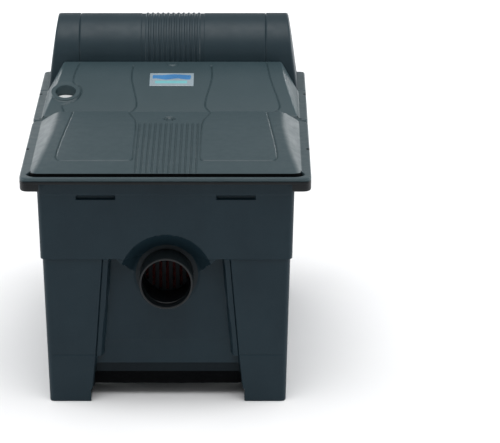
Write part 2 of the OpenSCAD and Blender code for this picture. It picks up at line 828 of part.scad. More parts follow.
front_end = seam - lid_gap / 2;
rear_start = seam + lid_gap / 2;

module front_shape(drop) {
    n = 14;
    u0 = 24;
    u1 = front_end - 14;
    polygon(concat(
        [[u0 - 4 + drop, rim_z - edge_h - 1]],
        [[u0 - 4 + drop, rim_z - drop]],
        [for (i = [0 : n]) [u0 + (u1 - u0) * i / n, rim_z + front_z(i / n) - drop]],
        [[front_end - 7 - drop / 2, rim_z + front_rise - 2 - drop],
        [front_end - 3 - drop, rim_z + front_rise - 8 - drop],
        [front_end - 1 - drop, rim_z - drop],
        [front_end - 1 - drop, rim_z - edge_h - 1]]));
}

module front_sides(drop) {
    polygon([[-body_hw - 14 + drop, rim_z - edge_h - 1], [body_hw + 14 - drop, rim_z - edge_h - 1],
        [body_hw + 14 - drop, rim_z], [body_hw + 14 - 1.5 * 29 - drop, rim_z + 29],
        [-body_hw - 14 + 1.5 * 29 + drop, rim_z + 29], [-body_hw - 14 + drop, rim_z]]);
}

module lid_border(y0, y1) {
    difference() {
        round_plate(rim_w / 2, y0, y1, 12, rim_u, rim_z);
        box(-rim_w / 2 + 4, rim_w / 2 - 4, y0 + 4, y1 - 4, rim_u - 1, rim_z - lid_t);
    }
}

// Rib that drops into the tub, on a ledge inside the lid from ledge0 to ledge1
module locating_rib(y0, y1, ledge0, ledge1) {
    difference() {
        union() {
            box(-hwb(rim_b) + wall + lid_fit + 1, hwb(rim_b) - wall - lid_fit - 1, y0, y1,
                rim_b + 2, rim_z - lid_t + 1);
            box(-body_hw - 11, body_hw + 11, ledge0, ledge1, rim_z - lid_t, rim_z - lid_t + 3);
        }
        box(-hwb(rim_b) + wall + lid_fit + 4, hwb(rim_b) - wall - lid_fit - 4, y0 + 3, y1 - 3,
            rim_b, rim_z + 1);
    }
}

// Front lift-off lid with its grooves and finger dimple
module front_lid() {
    color([0.2, 0.24, 0.28]) place() difference() {
        union() {
            difference() {
                union() {
                    lid_border(1, front_end);
                    intersection() {
                        across(-rim_w / 2, rim_w / 2) front_shape(0);
                        along(0, rim_l) front_sides(0);
                        box(-rim_w, rim_w, 0, rim_l, rim_z - lid_t, rim_z + 60);
                    }
                }
                intersection() {
                    across(-rim_w / 2, rim_w / 2) front_shape(lid_t);
                    along(0, rim_l) front_sides(lid_t);
                }
            }
            locating_rib(yfb(rim_b) + wall + lid_fit, seam - beam_w / 2 - lid_fit,
                22, front_end - 4);
        }
        intersection() {
            difference() {
                across(-70, 70) translate([0, 60]) front_shape(0);
                across(-71, 71) translate([0, -1.5]) front_shape(0);
            }
            for (k = [-5.5 : 5.5]) box(k * 11.2 - 2, k * 11.2 + 2, 27, 0.77 * seam, rim_z, rim_z + 60);
        }
        translate([0, seam - 52, rim_z + front_rise + 17.5]) sphere(r = 20);
    }
}

module rear_shape(drop) {
    n = 16;
    polygon(concat(
        [[rear_y0 - 6 + drop, rim_z - edge_h - 1]],
        [[rear_y0 - 6 + drop, rim_z - drop]],
        [for (i = [0 : n]) [rear_y0 + (rear_y1 - rear_y0 - (i == n ? drop : 0)) * i / n,
            rim_z + rear_z(i / n) - drop]],
        [[rear_y1 - drop, rim_z - edge_h - 1]]));
}

module rear_sides(drop) {
    polygon([[-body_hw - 15 + drop, rim_z - edge_h - 1], [body_hw + 15 - drop, rim_z - edge_h - 1],
        [body_hw + 15 - drop, rim_z], [body_hw + 15 - 0.55 * 90 - drop, rim_z + 90],
        [-body_hw - 15 + 0.55 * 90 + drop, rim_z + 90], [-body_hw - 15 + drop, rim_z]]);
}

// Rear lift-off lid, its name plate blank and its clogging indicator
module rear_lid() {
    color([0.2, 0.24, 0.28]) place() difference() {
        union() {
            difference() {
                union() {
                    lid_border(rear_start, rear_y1);
                    intersection() {
                        across(-rim_w / 2, rim_w / 2) rear_shape(0);
                        along(0, rim_l) rear_sides(0);
                        box(-rim_w, rim_w, 0, rim_l, rim_z - lid_t, rim_z + 90);
                    }
                }
                intersection() {
                    across(-rim_w / 2, rim_w / 2) rear_shape(lid_t);
                    along(0, rim_l) rear_sides(lid_t);
                }
            }
            locating_rib(seam + beam_w / 2 + lid_fit, hood_y - 16 - lid_fit,
                rear_y0 - 4, rear_y1 - lid_t + 1);
        }
        translate([ind_x, ind_y, rim_b]) cylinder(r = ind_r + 2.7, h = 120);
        translate([0, hood_y - 22, rear_at(hood_y - 22) + 16.5]) sphere(r = 19);
    }
}

module skin(x0, x1, y0, y1, t) {
    intersection() {
        difference() {
            across(x0, x1) translate([0, t]) rear_shape(0);
            across(x0 - 1, x1 + 1) rear_shape(0);
        }
        box(x0, x1, y0, y1, rim_z, rim_z + 100);
    }
}

module label_plate() {
    color([0.75, 0.77, 0.78]) place() skin(-48, 48, hood_y - 122, hood_y - 68, 1.2);
}

module indicator_guide() {
    top = rear_at(ind_y);
    color([0.1, 0.11, 0.13]) place() difference() {
        union() {
            intersection() {
                translate([ind_x, ind_y, 0]) cylinder(r = ind_r + 8.5, h = 700);
                skin(ind_x - 40, ind_x + 40, ind_y - 40, ind_y + 40, 1.5);
            }
            intersection() {
                translate([ind_x, ind_y, top - 46]) cylinder(r = ind_r + 2.5, h = 70);
                across(ind_x - 40, ind_x + 40) union() {
                    translate([0, 1]) rear_shape(0);
                    translate([ind_y - 40, rim_z - 60]) square([80, 62]);
                }
            }
        }
        translate([ind_x, ind_y, top - 43]) cylinder(r = ind_r, h = 90);
        translate([ind_x, ind_y, top - 60]) cylinder(r = 4 + slide_fit, h = 90);
    }
}

module indicator_float() {
    top = rear_at(ind_y);
    color([0.92, 0.92, 0.9]) place() translate([ind_x, ind_y, 0]) union() {
        translate([0, 0, top - 43]) cylinder(r = ind_r - 2, h = 6);
        translate([0, 0, top - 86]) cylinder(r = 4, h = 46);
        translate([0, 0, top - 100]) cylinder(r = 14, h = 26);
    }
}

module hood_shape(drop) {
    translate([hood_y + hood_r, rim_z + hood_wall]) circle(hood_r - drop, $fn = 120);
    translate([hood_y + drop, rim_u - (drop > 0 ? 1 : 0)])
        square([hood_l - 2 * drop, hood_wall + edge_h + (drop > 0 ? 1 : 0)]);
}

module hood_sides(drop) {
    polygon([[-body_hw - 15 + drop, rim_u - 1], [body_hw + 15 - drop, rim_u - 1],
        [body_hw + 15 - drop, rim_z], [body_hw + 15 - 0.135 * 170 - drop, rim_z + hood_wall + hood_r - drop],
        [-body_hw - 15 + 0.135 * 170 + drop, rim_z + hood_wall + hood_r - drop], [-body_hw - 15 + drop, rim_z]]);
}

// Hinged hood over the head of the screen
module screen_cover() {
    color([0.16, 0.19, 0.23]) place() difference() {
        union() {
            difference() {
                union() {
                    lid_border(hood_y, rim_l);
                    intersection() {
                        across(-rim_w / 2, rim_w / 2) hood_shape(0);
                        along(0, rim_l) hood_sides(0);
                    }
                }
                intersection() {
                    across(-rim_w / 2, rim_w / 2) hood_shape(lid_t);
                    along(0, rim_l) hood_sides(lid_t);
                }
            }
            for (k = [-5 : 5]) intersection() {
                rod_x(hood_y + hood_r, rim_z + hood_wall, hood_r + rib_h,
                    k * rib_pitch - 2.6, k * rib_pitch + 2.6);
                difference() {
                    box(-80, 80, hood_y, rim_l, rim_z + hood_wall, rim_z + 200);
                    rod_x(hood_y + hood_r, rim_z + hood_wall, hood_r - 2, -90, 90);
                }
            }
            both() {
                rod_x(hinge_y, rim_u, hinge_r, hinge_x + 16.5, hinge_x + 32);
                box(hinge_x + 16.5, hinge_x + 32, rim_l - 3, hinge_y, rim_u, rim_u + 5);
            }
        }
        both() rod_x(hinge_y, rim_u, pin_r + run_fit, hinge_x + 16, hinge_x + 33);
    }
}

module hinge_pin_right() {
    color([0.6, 0.6, 0.6]) place() rod_x(hinge_y, rim_u, pin_r, hinge_x, hinge_x + 33);
}

module hinge_pin_left() {
    color([0.6, 0.6, 0.6]) place()
        mirror([1, 0, 0]) rod_x(hinge_y, rim_u, pin_r, hinge_x, hinge_x + 33);
}

container();
tub_front();
tub_base();
rim_grip_left();
rim_grip_right();
lid_beam_front();
lid_beam_rear();
chamber_divider();
cartridge_tray();
foam_1();
foam_2();
foam_3();
foam_4();
foam_5();
foam_6();
carrier_1();
carrier_2();
carrier_3();
carrier_4();
carrier_5();
carrier_6();
outlet_spigot();
outlet_gasket();
outlet_locknut();
outlet_strainer();
inlet_body_left();
inlet_body_right();
inlet_gasket_left();
inlet_gasket_right();
inlet_nut_left();
inlet_nut_right();
hose_tail_left();
hose_tail_right();
distributor_pipe();
screen_frame_left();
screen_frame_right();
screen_belt();
drive_roller();
idler_roller();
roller_gear();
motor_housing();
motor_pinion();
scraper_bar();
scraper_lip();
drawer_housing();
debris_drawer();
drain_valve_body();
drain_locknut();
drain_gate();
drain_handle();
drain_spigot();
cable_gland();
front_lid();
rear_lid();
label_plate();
indicator_guide();
indicator_float();
screen_cover();
hinge_pin_left();
hinge_pin_right();
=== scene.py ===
"""Garden pond filter: a tapered tub with two loose lids and a hood over a driven screen belt.

Lengths inside the classes are millimetres, measured from the rim's front edge (y), the middle
(x) and the ground (z). ``Datum.place`` turns them into the frame's metres.
"""

import json
import logging
from dataclasses import dataclass, field
from enum import Enum
from typing import Callable, Optional, Sequence

import bpy
import numpy as np
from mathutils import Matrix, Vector

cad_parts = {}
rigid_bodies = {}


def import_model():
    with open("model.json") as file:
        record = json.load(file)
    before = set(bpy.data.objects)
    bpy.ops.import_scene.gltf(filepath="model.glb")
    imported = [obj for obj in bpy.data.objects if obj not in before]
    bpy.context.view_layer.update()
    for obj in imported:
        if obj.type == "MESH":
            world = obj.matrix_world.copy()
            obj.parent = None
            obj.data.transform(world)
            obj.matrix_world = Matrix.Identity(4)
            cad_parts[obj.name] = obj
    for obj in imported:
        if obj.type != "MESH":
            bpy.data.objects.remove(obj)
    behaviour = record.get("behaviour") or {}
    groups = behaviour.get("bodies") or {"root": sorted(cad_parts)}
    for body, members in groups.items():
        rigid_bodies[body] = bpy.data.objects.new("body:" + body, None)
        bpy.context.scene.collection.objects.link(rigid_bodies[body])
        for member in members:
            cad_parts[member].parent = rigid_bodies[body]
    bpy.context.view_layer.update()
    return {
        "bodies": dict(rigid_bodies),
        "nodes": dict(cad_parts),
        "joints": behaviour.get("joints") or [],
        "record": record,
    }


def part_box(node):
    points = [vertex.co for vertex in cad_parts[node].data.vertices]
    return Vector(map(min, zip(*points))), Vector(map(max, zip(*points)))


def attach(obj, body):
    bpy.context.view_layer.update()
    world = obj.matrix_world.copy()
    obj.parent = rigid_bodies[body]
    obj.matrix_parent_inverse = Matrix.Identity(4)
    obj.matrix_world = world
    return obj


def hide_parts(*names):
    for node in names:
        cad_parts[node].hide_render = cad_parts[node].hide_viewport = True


LOG = logging.getLogger("pond_filter")
MM = 0.001


class Body(str, Enum):
    """Moving groups of the filter."""

    TUB = "tub"
    FRONT_LID = "front_lid"
    REAR_LID = "rear_lid"
    FLOAT = "indicator_float"
    HOOD = "hood"


# --------------------------------------------------------------------------- shader helper


@dataclass
class NodeKit:
    """Builds one procedural material.

    Args:
        name: The material's name.
    """

    name: str

    def __post_init__(self) -> None:
        """Creates the material and finds its shader."""
        self.mat = bpy.data.materials.new(self.name)
        self.mat.use_nodes = True
        self.nodes = self.mat.node_tree.nodes
        self.links = self.mat.node_tree.links
        self.shader = self.nodes["Principled BSDF"]
        self.coords = self.nodes.new("ShaderNodeTexCoord").outputs["Object"]

    def set(self, **values: object) -> None:
        """Sets shader sockets; an underscore in a name stands for a space."""
        for key, value in values.items():
            self.shader.inputs[key.replace("_", " ")].default_value = value

    def stretch(self, scale: Sequence[float], turn: Sequence[float] = (0, 0, 0)) -> object:
        """Scales and turns the object coordinates.

        Args:
            scale: Scale along X, Y and Z.
            turn: Rotation in radians.

        Returns:
            The mapped vector socket.
        """
        mapping = self.nodes.new("ShaderNodeMapping")
        mapping.inputs["Scale"].default_value = scale
        mapping.inputs["Rotation"].default_value = turn
        self.links.new(self.coords, mapping.inputs["Vector"])
        return mapping.outputs["Vector"]

    def noise(self, scale: float, detail: float = 3.0, vector: Optional[object] = None,
              rough: float = 0.55) -> object:
        """Adds a noise texture.

        Args:
            scale: Cells per metre.
            detail: Octaves.
            vector: Coordinates to use, or the object's own.
            rough: How strong the finer octaves are.

        Returns:
            The noise value socket.
        """
        tex = self.nodes.new("ShaderNodeTexNoise")
        tex.inputs["Scale"].default_value = scale
        tex.inputs["Detail"].default_value = detail
        tex.inputs["Roughness"].default_value = rough
        self.links.new(vector or self.coords, tex.inputs["Vector"])
        return tex.outputs[0]

    def cells(self, scale: float, vector: Optional[object] = None) -> object:
        """Adds a cell texture and returns its distance socket."""
        tex = self.nodes.new("ShaderNodeTexVoronoi")
        tex.inputs["Scale"].default_value = scale
        self.links.new(vector or self.coords, tex.inputs["Vector"])
        return tex.outputs["Distance"]

    def remap(self, value: object, low: float, high: float, out_low: float,
              out_high: float) -> object:
        """Maps a value from one range to another and returns the new socket."""
        node = self.nodes.new("ShaderNodeMapRange")
        for index, number in enumerate((low, high, out_low, out_high), start=1):
            node.inputs[index].default_value = number
        self.links.new(value, node.inputs[0])
        return node.outputs[0]

    def blend(self, factor: object, first: Sequence[float], second: Sequence[float]) -> object:
        """Blends two colours by a factor socket and returns the colour socket."""
        node = self.nodes.new("ShaderNodeMix")
        node.data_type = "RGBA"
        node.inputs[6].default_value = (*first, 1)
        node.inputs[7].default_value = (*second, 1)
        self.links.new(factor, node.inputs[0])
        return node.outputs[2]

    def math(self, kind: str, first: object, second: object) -> object:
        """Combines two sockets or a socket and a number and returns the result."""
        node = self.nodes.new("ShaderNodeMath")
        node.operation = kind
        for slot, value in enumerate((first, second)):
            if isinstance(value, (int, float)):
                node.inputs[slot].default_value = value
            else:
                self.links.new(value, node.inputs[slot])
        return node.outputs[0]

    def bump(self, height: object, distance: float, strength: float = 1.0,
             under: Optional[object] = None) -> object:
        """Adds a bump and returns its normal socket."""
        node = self.nodes.new("ShaderNodeBump")
        node.inputs["Distance"].default_value = distance
        node.inputs["Strength"].default_value = strength
        self.links.new(height, node.inputs["Height"])
        if under is not None:
            self.links.new(under, node.inputs["Normal"])
        return node.outputs[0]

    def plug(self, socket: object, name: str) -> None:
        """Connects a socket to a shader input."""
        self.links.new(socket, self.shader.inputs[name])


# --------------------------------------------------------------------------- finishes


@dataclass(frozen=True)
class MouldedPlastic:
    """Moulded plastic with a fine grain, faint clouding and light dust.

    Args:
        name: Material name.
        colour: Main colour.
        shade: Colour of the darker clouds.
        rough: Middle roughness.
        grain: Height of the grain in metres.
        dust: Share of pale dust in the colour.
    """

    name: str
    colour: tuple[float, float, float]
    shade: tuple[float, float, float]
    rough: float = 0.42
    grain: float = 0.00006
    dust: float = 0.05
    specular: float = 0.5

    def make(self) -> bpy.types.Material:
        """Builds the material."""
        kit = NodeKit(self.name)
        clouds = kit.noise(5.0, 5.0, rough=0.6)
        streaks = kit.noise(22.0, 4.0, kit.stretch((1.0, 1.0, 0.25)))
        mixed = kit.math("ADD", kit.math("MULTIPLY", clouds, 0.65),
                         kit.math("MULTIPLY", streaks, 0.35))
        base = kit.blend(kit.remap(mixed, 0.35, 0.65, 0.0, 1.0), self.shade, self.colour)
        specks = kit.remap(kit.noise(700.0, 2.0), 0.58, 0.75, 0.0, self.dust)
        dusty = kit.nodes.new("ShaderNodeMix")
        dusty.data_type = "RGBA"
        kit.links.new(specks, dusty.inputs[0])
        kit.links.new(base, dusty.inputs[6])
        dusty.inputs[7].default_value = (0.20, 0.22, 0.23, 1)
        kit.plug(dusty.outputs[2], "Base Color")
        kit.plug(kit.remap(kit.noise(60.0, 5.0), 0.3, 0.7, self.rough - 0.05, self.rough + 0.06),
                 "Roughness")
        fine = kit.bump(kit.noise(1400.0, 2.0), self.grain, 0.6)
        kit.plug(kit.bump(kit.noise(14.0, 2.0), 0.0003, 0.08, fine), "Normal")
        kit.set(Specular_IOR_Level=self.specular)
        return kit.mat


@dataclass(frozen=True)
class OpenFoam:
    """Open-cell filter foam.

    Args:
        name: Material name.
        colour: Colour of the foam.
        deep: Colour inside the cells, painted shade in the pores.
    """

    name: str
    colour: tuple[float, float, float]
    deep: tuple[float, float, float]

    def make(self) -> bpy.types.Material:
        """Builds the material."""
        kit = NodeKit(self.name)
        cells = kit.cells(420.0)
        patches = kit.remap(kit.noise(14.0, 4.0), 0.35, 0.7, 0.75, 1.15)
        # painted shade: the middles of the cells take the darker colour, as shade in the pores
        depth = kit.math("MULTIPLY", kit.remap(cells, 0.05, 0.55, 0.0, 1.0), patches)
        kit.plug(kit.blend(depth, self.deep, self.colour), "Base Color")
        kit.plug(kit.bump(cells, 0.0022, 0.9), "Normal")
        kit.set(Roughness=0.95, Specular_IOR_Level=0.2, Sheen_Weight=0.25, Sheen_Roughness=0.6)
        return kit.mat


@dataclass(frozen=True)
class WovenScreen:
    """Fine woven steel screen of the belt."""

    name: str = "screen_weave"
    pitch: float = 900.0

    def make(self) -> bpy.types.Material:
        """Builds the material."""
        kit = NodeKit(self.name)
        waves = []
        for turn in ((0.0, 0.0, 0.0), (1.2, 0.0, 1.5708)):
            tex = kit.nodes.new("ShaderNodeTexWave")
            tex.inputs["Scale"].default_value = self.pitch / 6.3
            kit.links.new(kit.stretch((1, 1, 1), turn), tex.inputs["Vector"])
            waves.append(tex.outputs["Fac"])
        weave = kit.math("MAXIMUM", waves[0], waves[1])
        kit.plug(kit.blend(weave, (0.05, 0.055, 0.06), (0.52, 0.54, 0.55)), "Base Color")
        kit.plug(kit.bump(weave, 0.0004, 0.8), "Normal")
        kit.plug(kit.remap(kit.noise(30.0), 0.3, 0.7, 0.34, 0.5), "Roughness")
        kit.set(Metallic=0.85)
        return kit.mat


@dataclass(frozen=True)
class BrushedMetal:
    """Brushed stainless steel.

    Args:
        name: Material name.
        colour: Colour of the metal.
        along: Stretch of the brush lines.
    """

    name: str
    colour: tuple[float, float, float] = (0.55, 0.56, 0.58)
    along: tuple[float, float, float] = (900.0, 12.0, 900.0)

    def make(self) -> bpy.types.Material:
        """Builds the material."""
        kit = NodeKit(self.name)
        lines = kit.noise(1.0, 3.0, kit.stretch(self.along))
        dull = tuple(0.72 * c for c in self.colour)
        kit.plug(kit.blend(kit.remap(lines, 0.3, 0.7, 0.0, 1.0), dull, self.colour), "Base Color")
        kit.plug(kit.remap(lines, 0.25, 0.75, 0.24, 0.42), "Roughness")
        kit.plug(kit.bump(lines, 0.00005, 0.5), "Normal")
        kit.set(Metallic=1.0)
        return kit.mat


@dataclass(frozen=True)
class SealRubber:
    """Matt black rubber."""

    name: str = "seal_rubber"

    def make(self) -> bpy.types.Material:
        """Builds the material."""
        kit = NodeKit(self.name)
        cloud = kit.remap(kit.noise(80.0, 4.0), 0.35, 0.7, 0.0, 1.0)
        kit.plug(kit.blend(cloud, (0.004, 0.008, 0.011), (0.009, 0.016, 0.020)), "Base Color")
        kit.plug(kit.bump(kit.noise(600.0), 0.0002, 0.5), "Normal")
        kit.set(Roughness=0.8)
        return kit.mat


@dataclass(frozen=True)
class PaleGround:
    """Pale seamless studio ground."""

    name: str = "pale_ground"

    def make(self) -> bpy.types.Material:
        """Builds the material."""
        kit = NodeKit(self.name)
        cloud = kit.remap(kit.noise(1.5, 3.0), 0.3, 0.7, 0.0, 1.0)
        kit.plug(kit.blend(cloud, (0.86, 0.86, 0.87), (0.89, 0.89, 0.895)), "Base Color")
        kit.set(Roughness=0.9, Specular_IOR_Level=0.1)
        return kit.mat


class Finish(Enum):
    """Every finish of the filter."""

    TUB = MouldedPlastic("tub_charcoal", (0.010, 0.024, 0.033), (0.007, 0.018, 0.026), 0.46,
                         specular=0.2)
    # painted shade: a darker copy of the tub's finish for the band above the front panel's black foot
    TUB_PAINTED_SHADE = MouldedPlastic("tub_painted_shade", (0.0042, 0.0095, 0.0130), (0.003, 0.007, 0.0098), 0.5,
                              specular=0.12)
    RIM = MouldedPlastic("rim_black", (0.004, 0.006, 0.008), (0.002, 0.003, 0.004), 0.42,
                         specular=0.25)
    LID = MouldedPlastic("lid_slate", (0.038, 0.064, 0.074), (0.032, 0.057, 0.066), 0.44,
                         specular=0.40)
    HOOD = MouldedPlastic("hood_slate", (0.018, 0.036, 0.046), (0.014, 0.029, 0.038), 0.46,
                          specular=0.3)
    # painted shade: near-black for the lid grooves, notches and pits and for the foot of the front panel
    SHADE = MouldedPlastic("painted_shade_black", (0.0012, 0.0016, 0.002), (0.0008, 0.001, 0.0014), 0.8,
                           specular=0.05)
    PIPE = MouldedPlastic("pipe_black", (0.004, 0.006, 0.007), (0.002, 0.003, 0.004), 0.34,
                          specular=0.35)
    INNER = MouldedPlastic("inner_grey", (0.016, 0.020, 0.024), (0.010, 0.013, 0.016), 0.6,
                           specular=0.2)
    CARRIER = MouldedPlastic("carrier_grey", (0.05, 0.06, 0.07), (0.035, 0.042, 0.05), 0.5)
    FITTING = MouldedPlastic("fitting_black", (0.012, 0.014, 0.017), (0.007, 0.008, 0.01), 0.4)
    FRAME = MouldedPlastic("frame_grey", (0.20, 0.22, 0.24), (0.14, 0.16, 0.18), 0.5)
    ROLLER = MouldedPlastic("roller_grey", (0.10, 0.11, 0.13), (0.07, 0.08, 0.09), 0.45)
    GEAR = MouldedPlastic("gear_nylon", (0.66, 0.65, 0.58), (0.56, 0.54, 0.46), 0.42)
    MOTOR = MouldedPlastic("motor_black", (0.02, 0.022, 0.026), (0.012, 0.014, 0.018), 0.38)
    DRAWER = MouldedPlastic("drawer_slate", (0.030, 0.045, 0.056), (0.022, 0.034, 0.044), 0.46)
    HANDLE = MouldedPlastic("handle_red", (0.36, 0.02, 0.018), (0.26, 0.012, 0.012), 0.3)
    FLOAT = MouldedPlastic("float_white", (0.86, 0.87, 0.86), (0.78, 0.79, 0.79), 0.4, dust=0.0)
    SILVER = MouldedPlastic("plate_silver", (0.34, 0.41, 0.45), (0.22, 0.28, 0.32), 0.3)
    BLUE = MouldedPlastic("plate_blue", (0.05, 0.24, 0.52), (0.03, 0.15, 0.36), 0.3)
    TEAL = MouldedPlastic("plate_teal", (0.20, 0.52, 0.54), (0.14, 0.42, 0.46), 0.3)
    FOAM_BLUE = OpenFoam("foam_blue", (0.03, 0.11, 0.36), (0.005, 0.018, 0.07))
    FOAM_RED = OpenFoam("foam_red", (0.14, 0.014, 0.012), (0.02, 0.003, 0.003))
    SCREEN = WovenScreen()
    STEEL = BrushedMetal("gate_steel")
    PIN = BrushedMetal("pin_steel", (0.6, 0.6, 0.61), (10.0, 700.0, 700.0))
    RUBBER = SealRubber()
    GROUND = PaleGround()


class FinishShelf:
    """Builds each finish once."""

    def __init__(self) -> None:
        """Starts with nothing built."""
        self._built: dict[Finish, bpy.types.Material] = {}

    def get(self, finish: Finish) -> bpy.types.Material:
        """Returns the material of a finish."""
        if finish not in self._built:
            self._built[finish] = finish.value.make()
        return self._built[finish]


# --------------------------------------------------------------------------- mesh helpers


@dataclass
class Datum:
    """Turns millimetres from the rim's front edge into the frame's metres."""

    front: float = field(default_factory=lambda: float(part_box("container")[0][1]))

    def place(self, x: np.ndarray, y: np.ndarray, z: np.ndarray) -> np.ndarray:
        """Returns points in metres in the frame."""
        points = np.stack(np.broadcast_arrays(x, y, z), axis=-1).astype(float) * MM
        points[..., 1] += self.front
        return points


def smooth_min(a: np.ndarray, b: np.ndarray, k: float) -> np.ndarray:
    """Returns the lesser of two fields with the crease rounded over k."""
    h = np.clip(0.5 + 0.5 * (b - a) / k, 0, 1)
    return b * (1 - h) + a * h - k * h * (1 - h)


def smooth_max(a: np.ndarray, b: np.ndarray, k: float) -> np.ndarray:
    """Returns the greater of two fields with the crease rounded over k."""
    return -smooth_min(-a, -b, k)


def ramp(value: np.ndarray, start: float, end: float) -> np.ndarray:
    """Returns a smooth step from 0 at start to 1 at end."""
    t = np.clip((value - start) / (end - start), 0, 1)
    return t * t * (3 - 2 * t)


def lines(start: float, end: float, step: float, extra: Sequence[float] = ()) -> np.ndarray:
    """Returns grid lines from start to end that include the extra ones.

    Args:
        start: First line.
        end: Last line.
        step: Spacing aimed at.
        extra: Lines that have to be there.

    Returns:
        Sorted line positions.
    """
    must = np.unique(np.round([start, end, *[v for v in extra if start < v < end]], 4))
    count = max(int(round((end - start) / step)), 1)
    free = np.linspace(start, end, count + 1)
    near = np.min(np.abs(free[:, None] - must[None, :]), axis=1)
    return np.unique(np.concatenate([must, free[near > 0.4 * step]]))


def outline_distance(x: np.ndarray, y: np.ndarray, points: Sequence[tuple[float, float]],
                     closed: bool) -> np.ndarray:
    """Returns the distance to a polyline, negative inside when it is closed."""
    best = np.full(x.shape, 1e9)
    inside = np.zeros(x.shape, dtype=bool)
    pairs = list(zip(points, list(points[1:]) + [points[0]]))
    for (ax, ay), (bx, by) in pairs if closed else pairs[:-1]:
        dx, dy = bx - ax, by - ay
        t = np.clip(((x - ax) * dx + (y - ay) * dy) / (dx * dx + dy * dy), 0, 1)
        best = np.minimum(best, np.hypot(x - ax - t * dx, y - ay - t * dy))
        if closed and dy:
            crosses = (y < ay) != (y < by)
            inside ^= crosses & (x < ax + (y - ay) * dx / dy)
    return np.where(inside, -best, best) if closed else best


def rounded(points: Sequence[tuple[float, float]], closed: bool = True,
            rounds: int = 3) -> list[tuple[float, float]]:
    """Returns the polyline with its corners cut smooth."""
    path = [np.array(p, dtype=float) for p in points]
    for _ in range(rounds):
        out = [] if closed else [path[0]]
        pairs = list(zip(path, path[1:] + path[:1])) if closed else list(zip(path, path[1:]))
        for a, b in pairs:
            out += [a * 0.8 + b * 0.2, a * 0.2 + b * 0.8]
        path = out if closed else out + [path[-1]]
    return [tuple(p) for p in path]


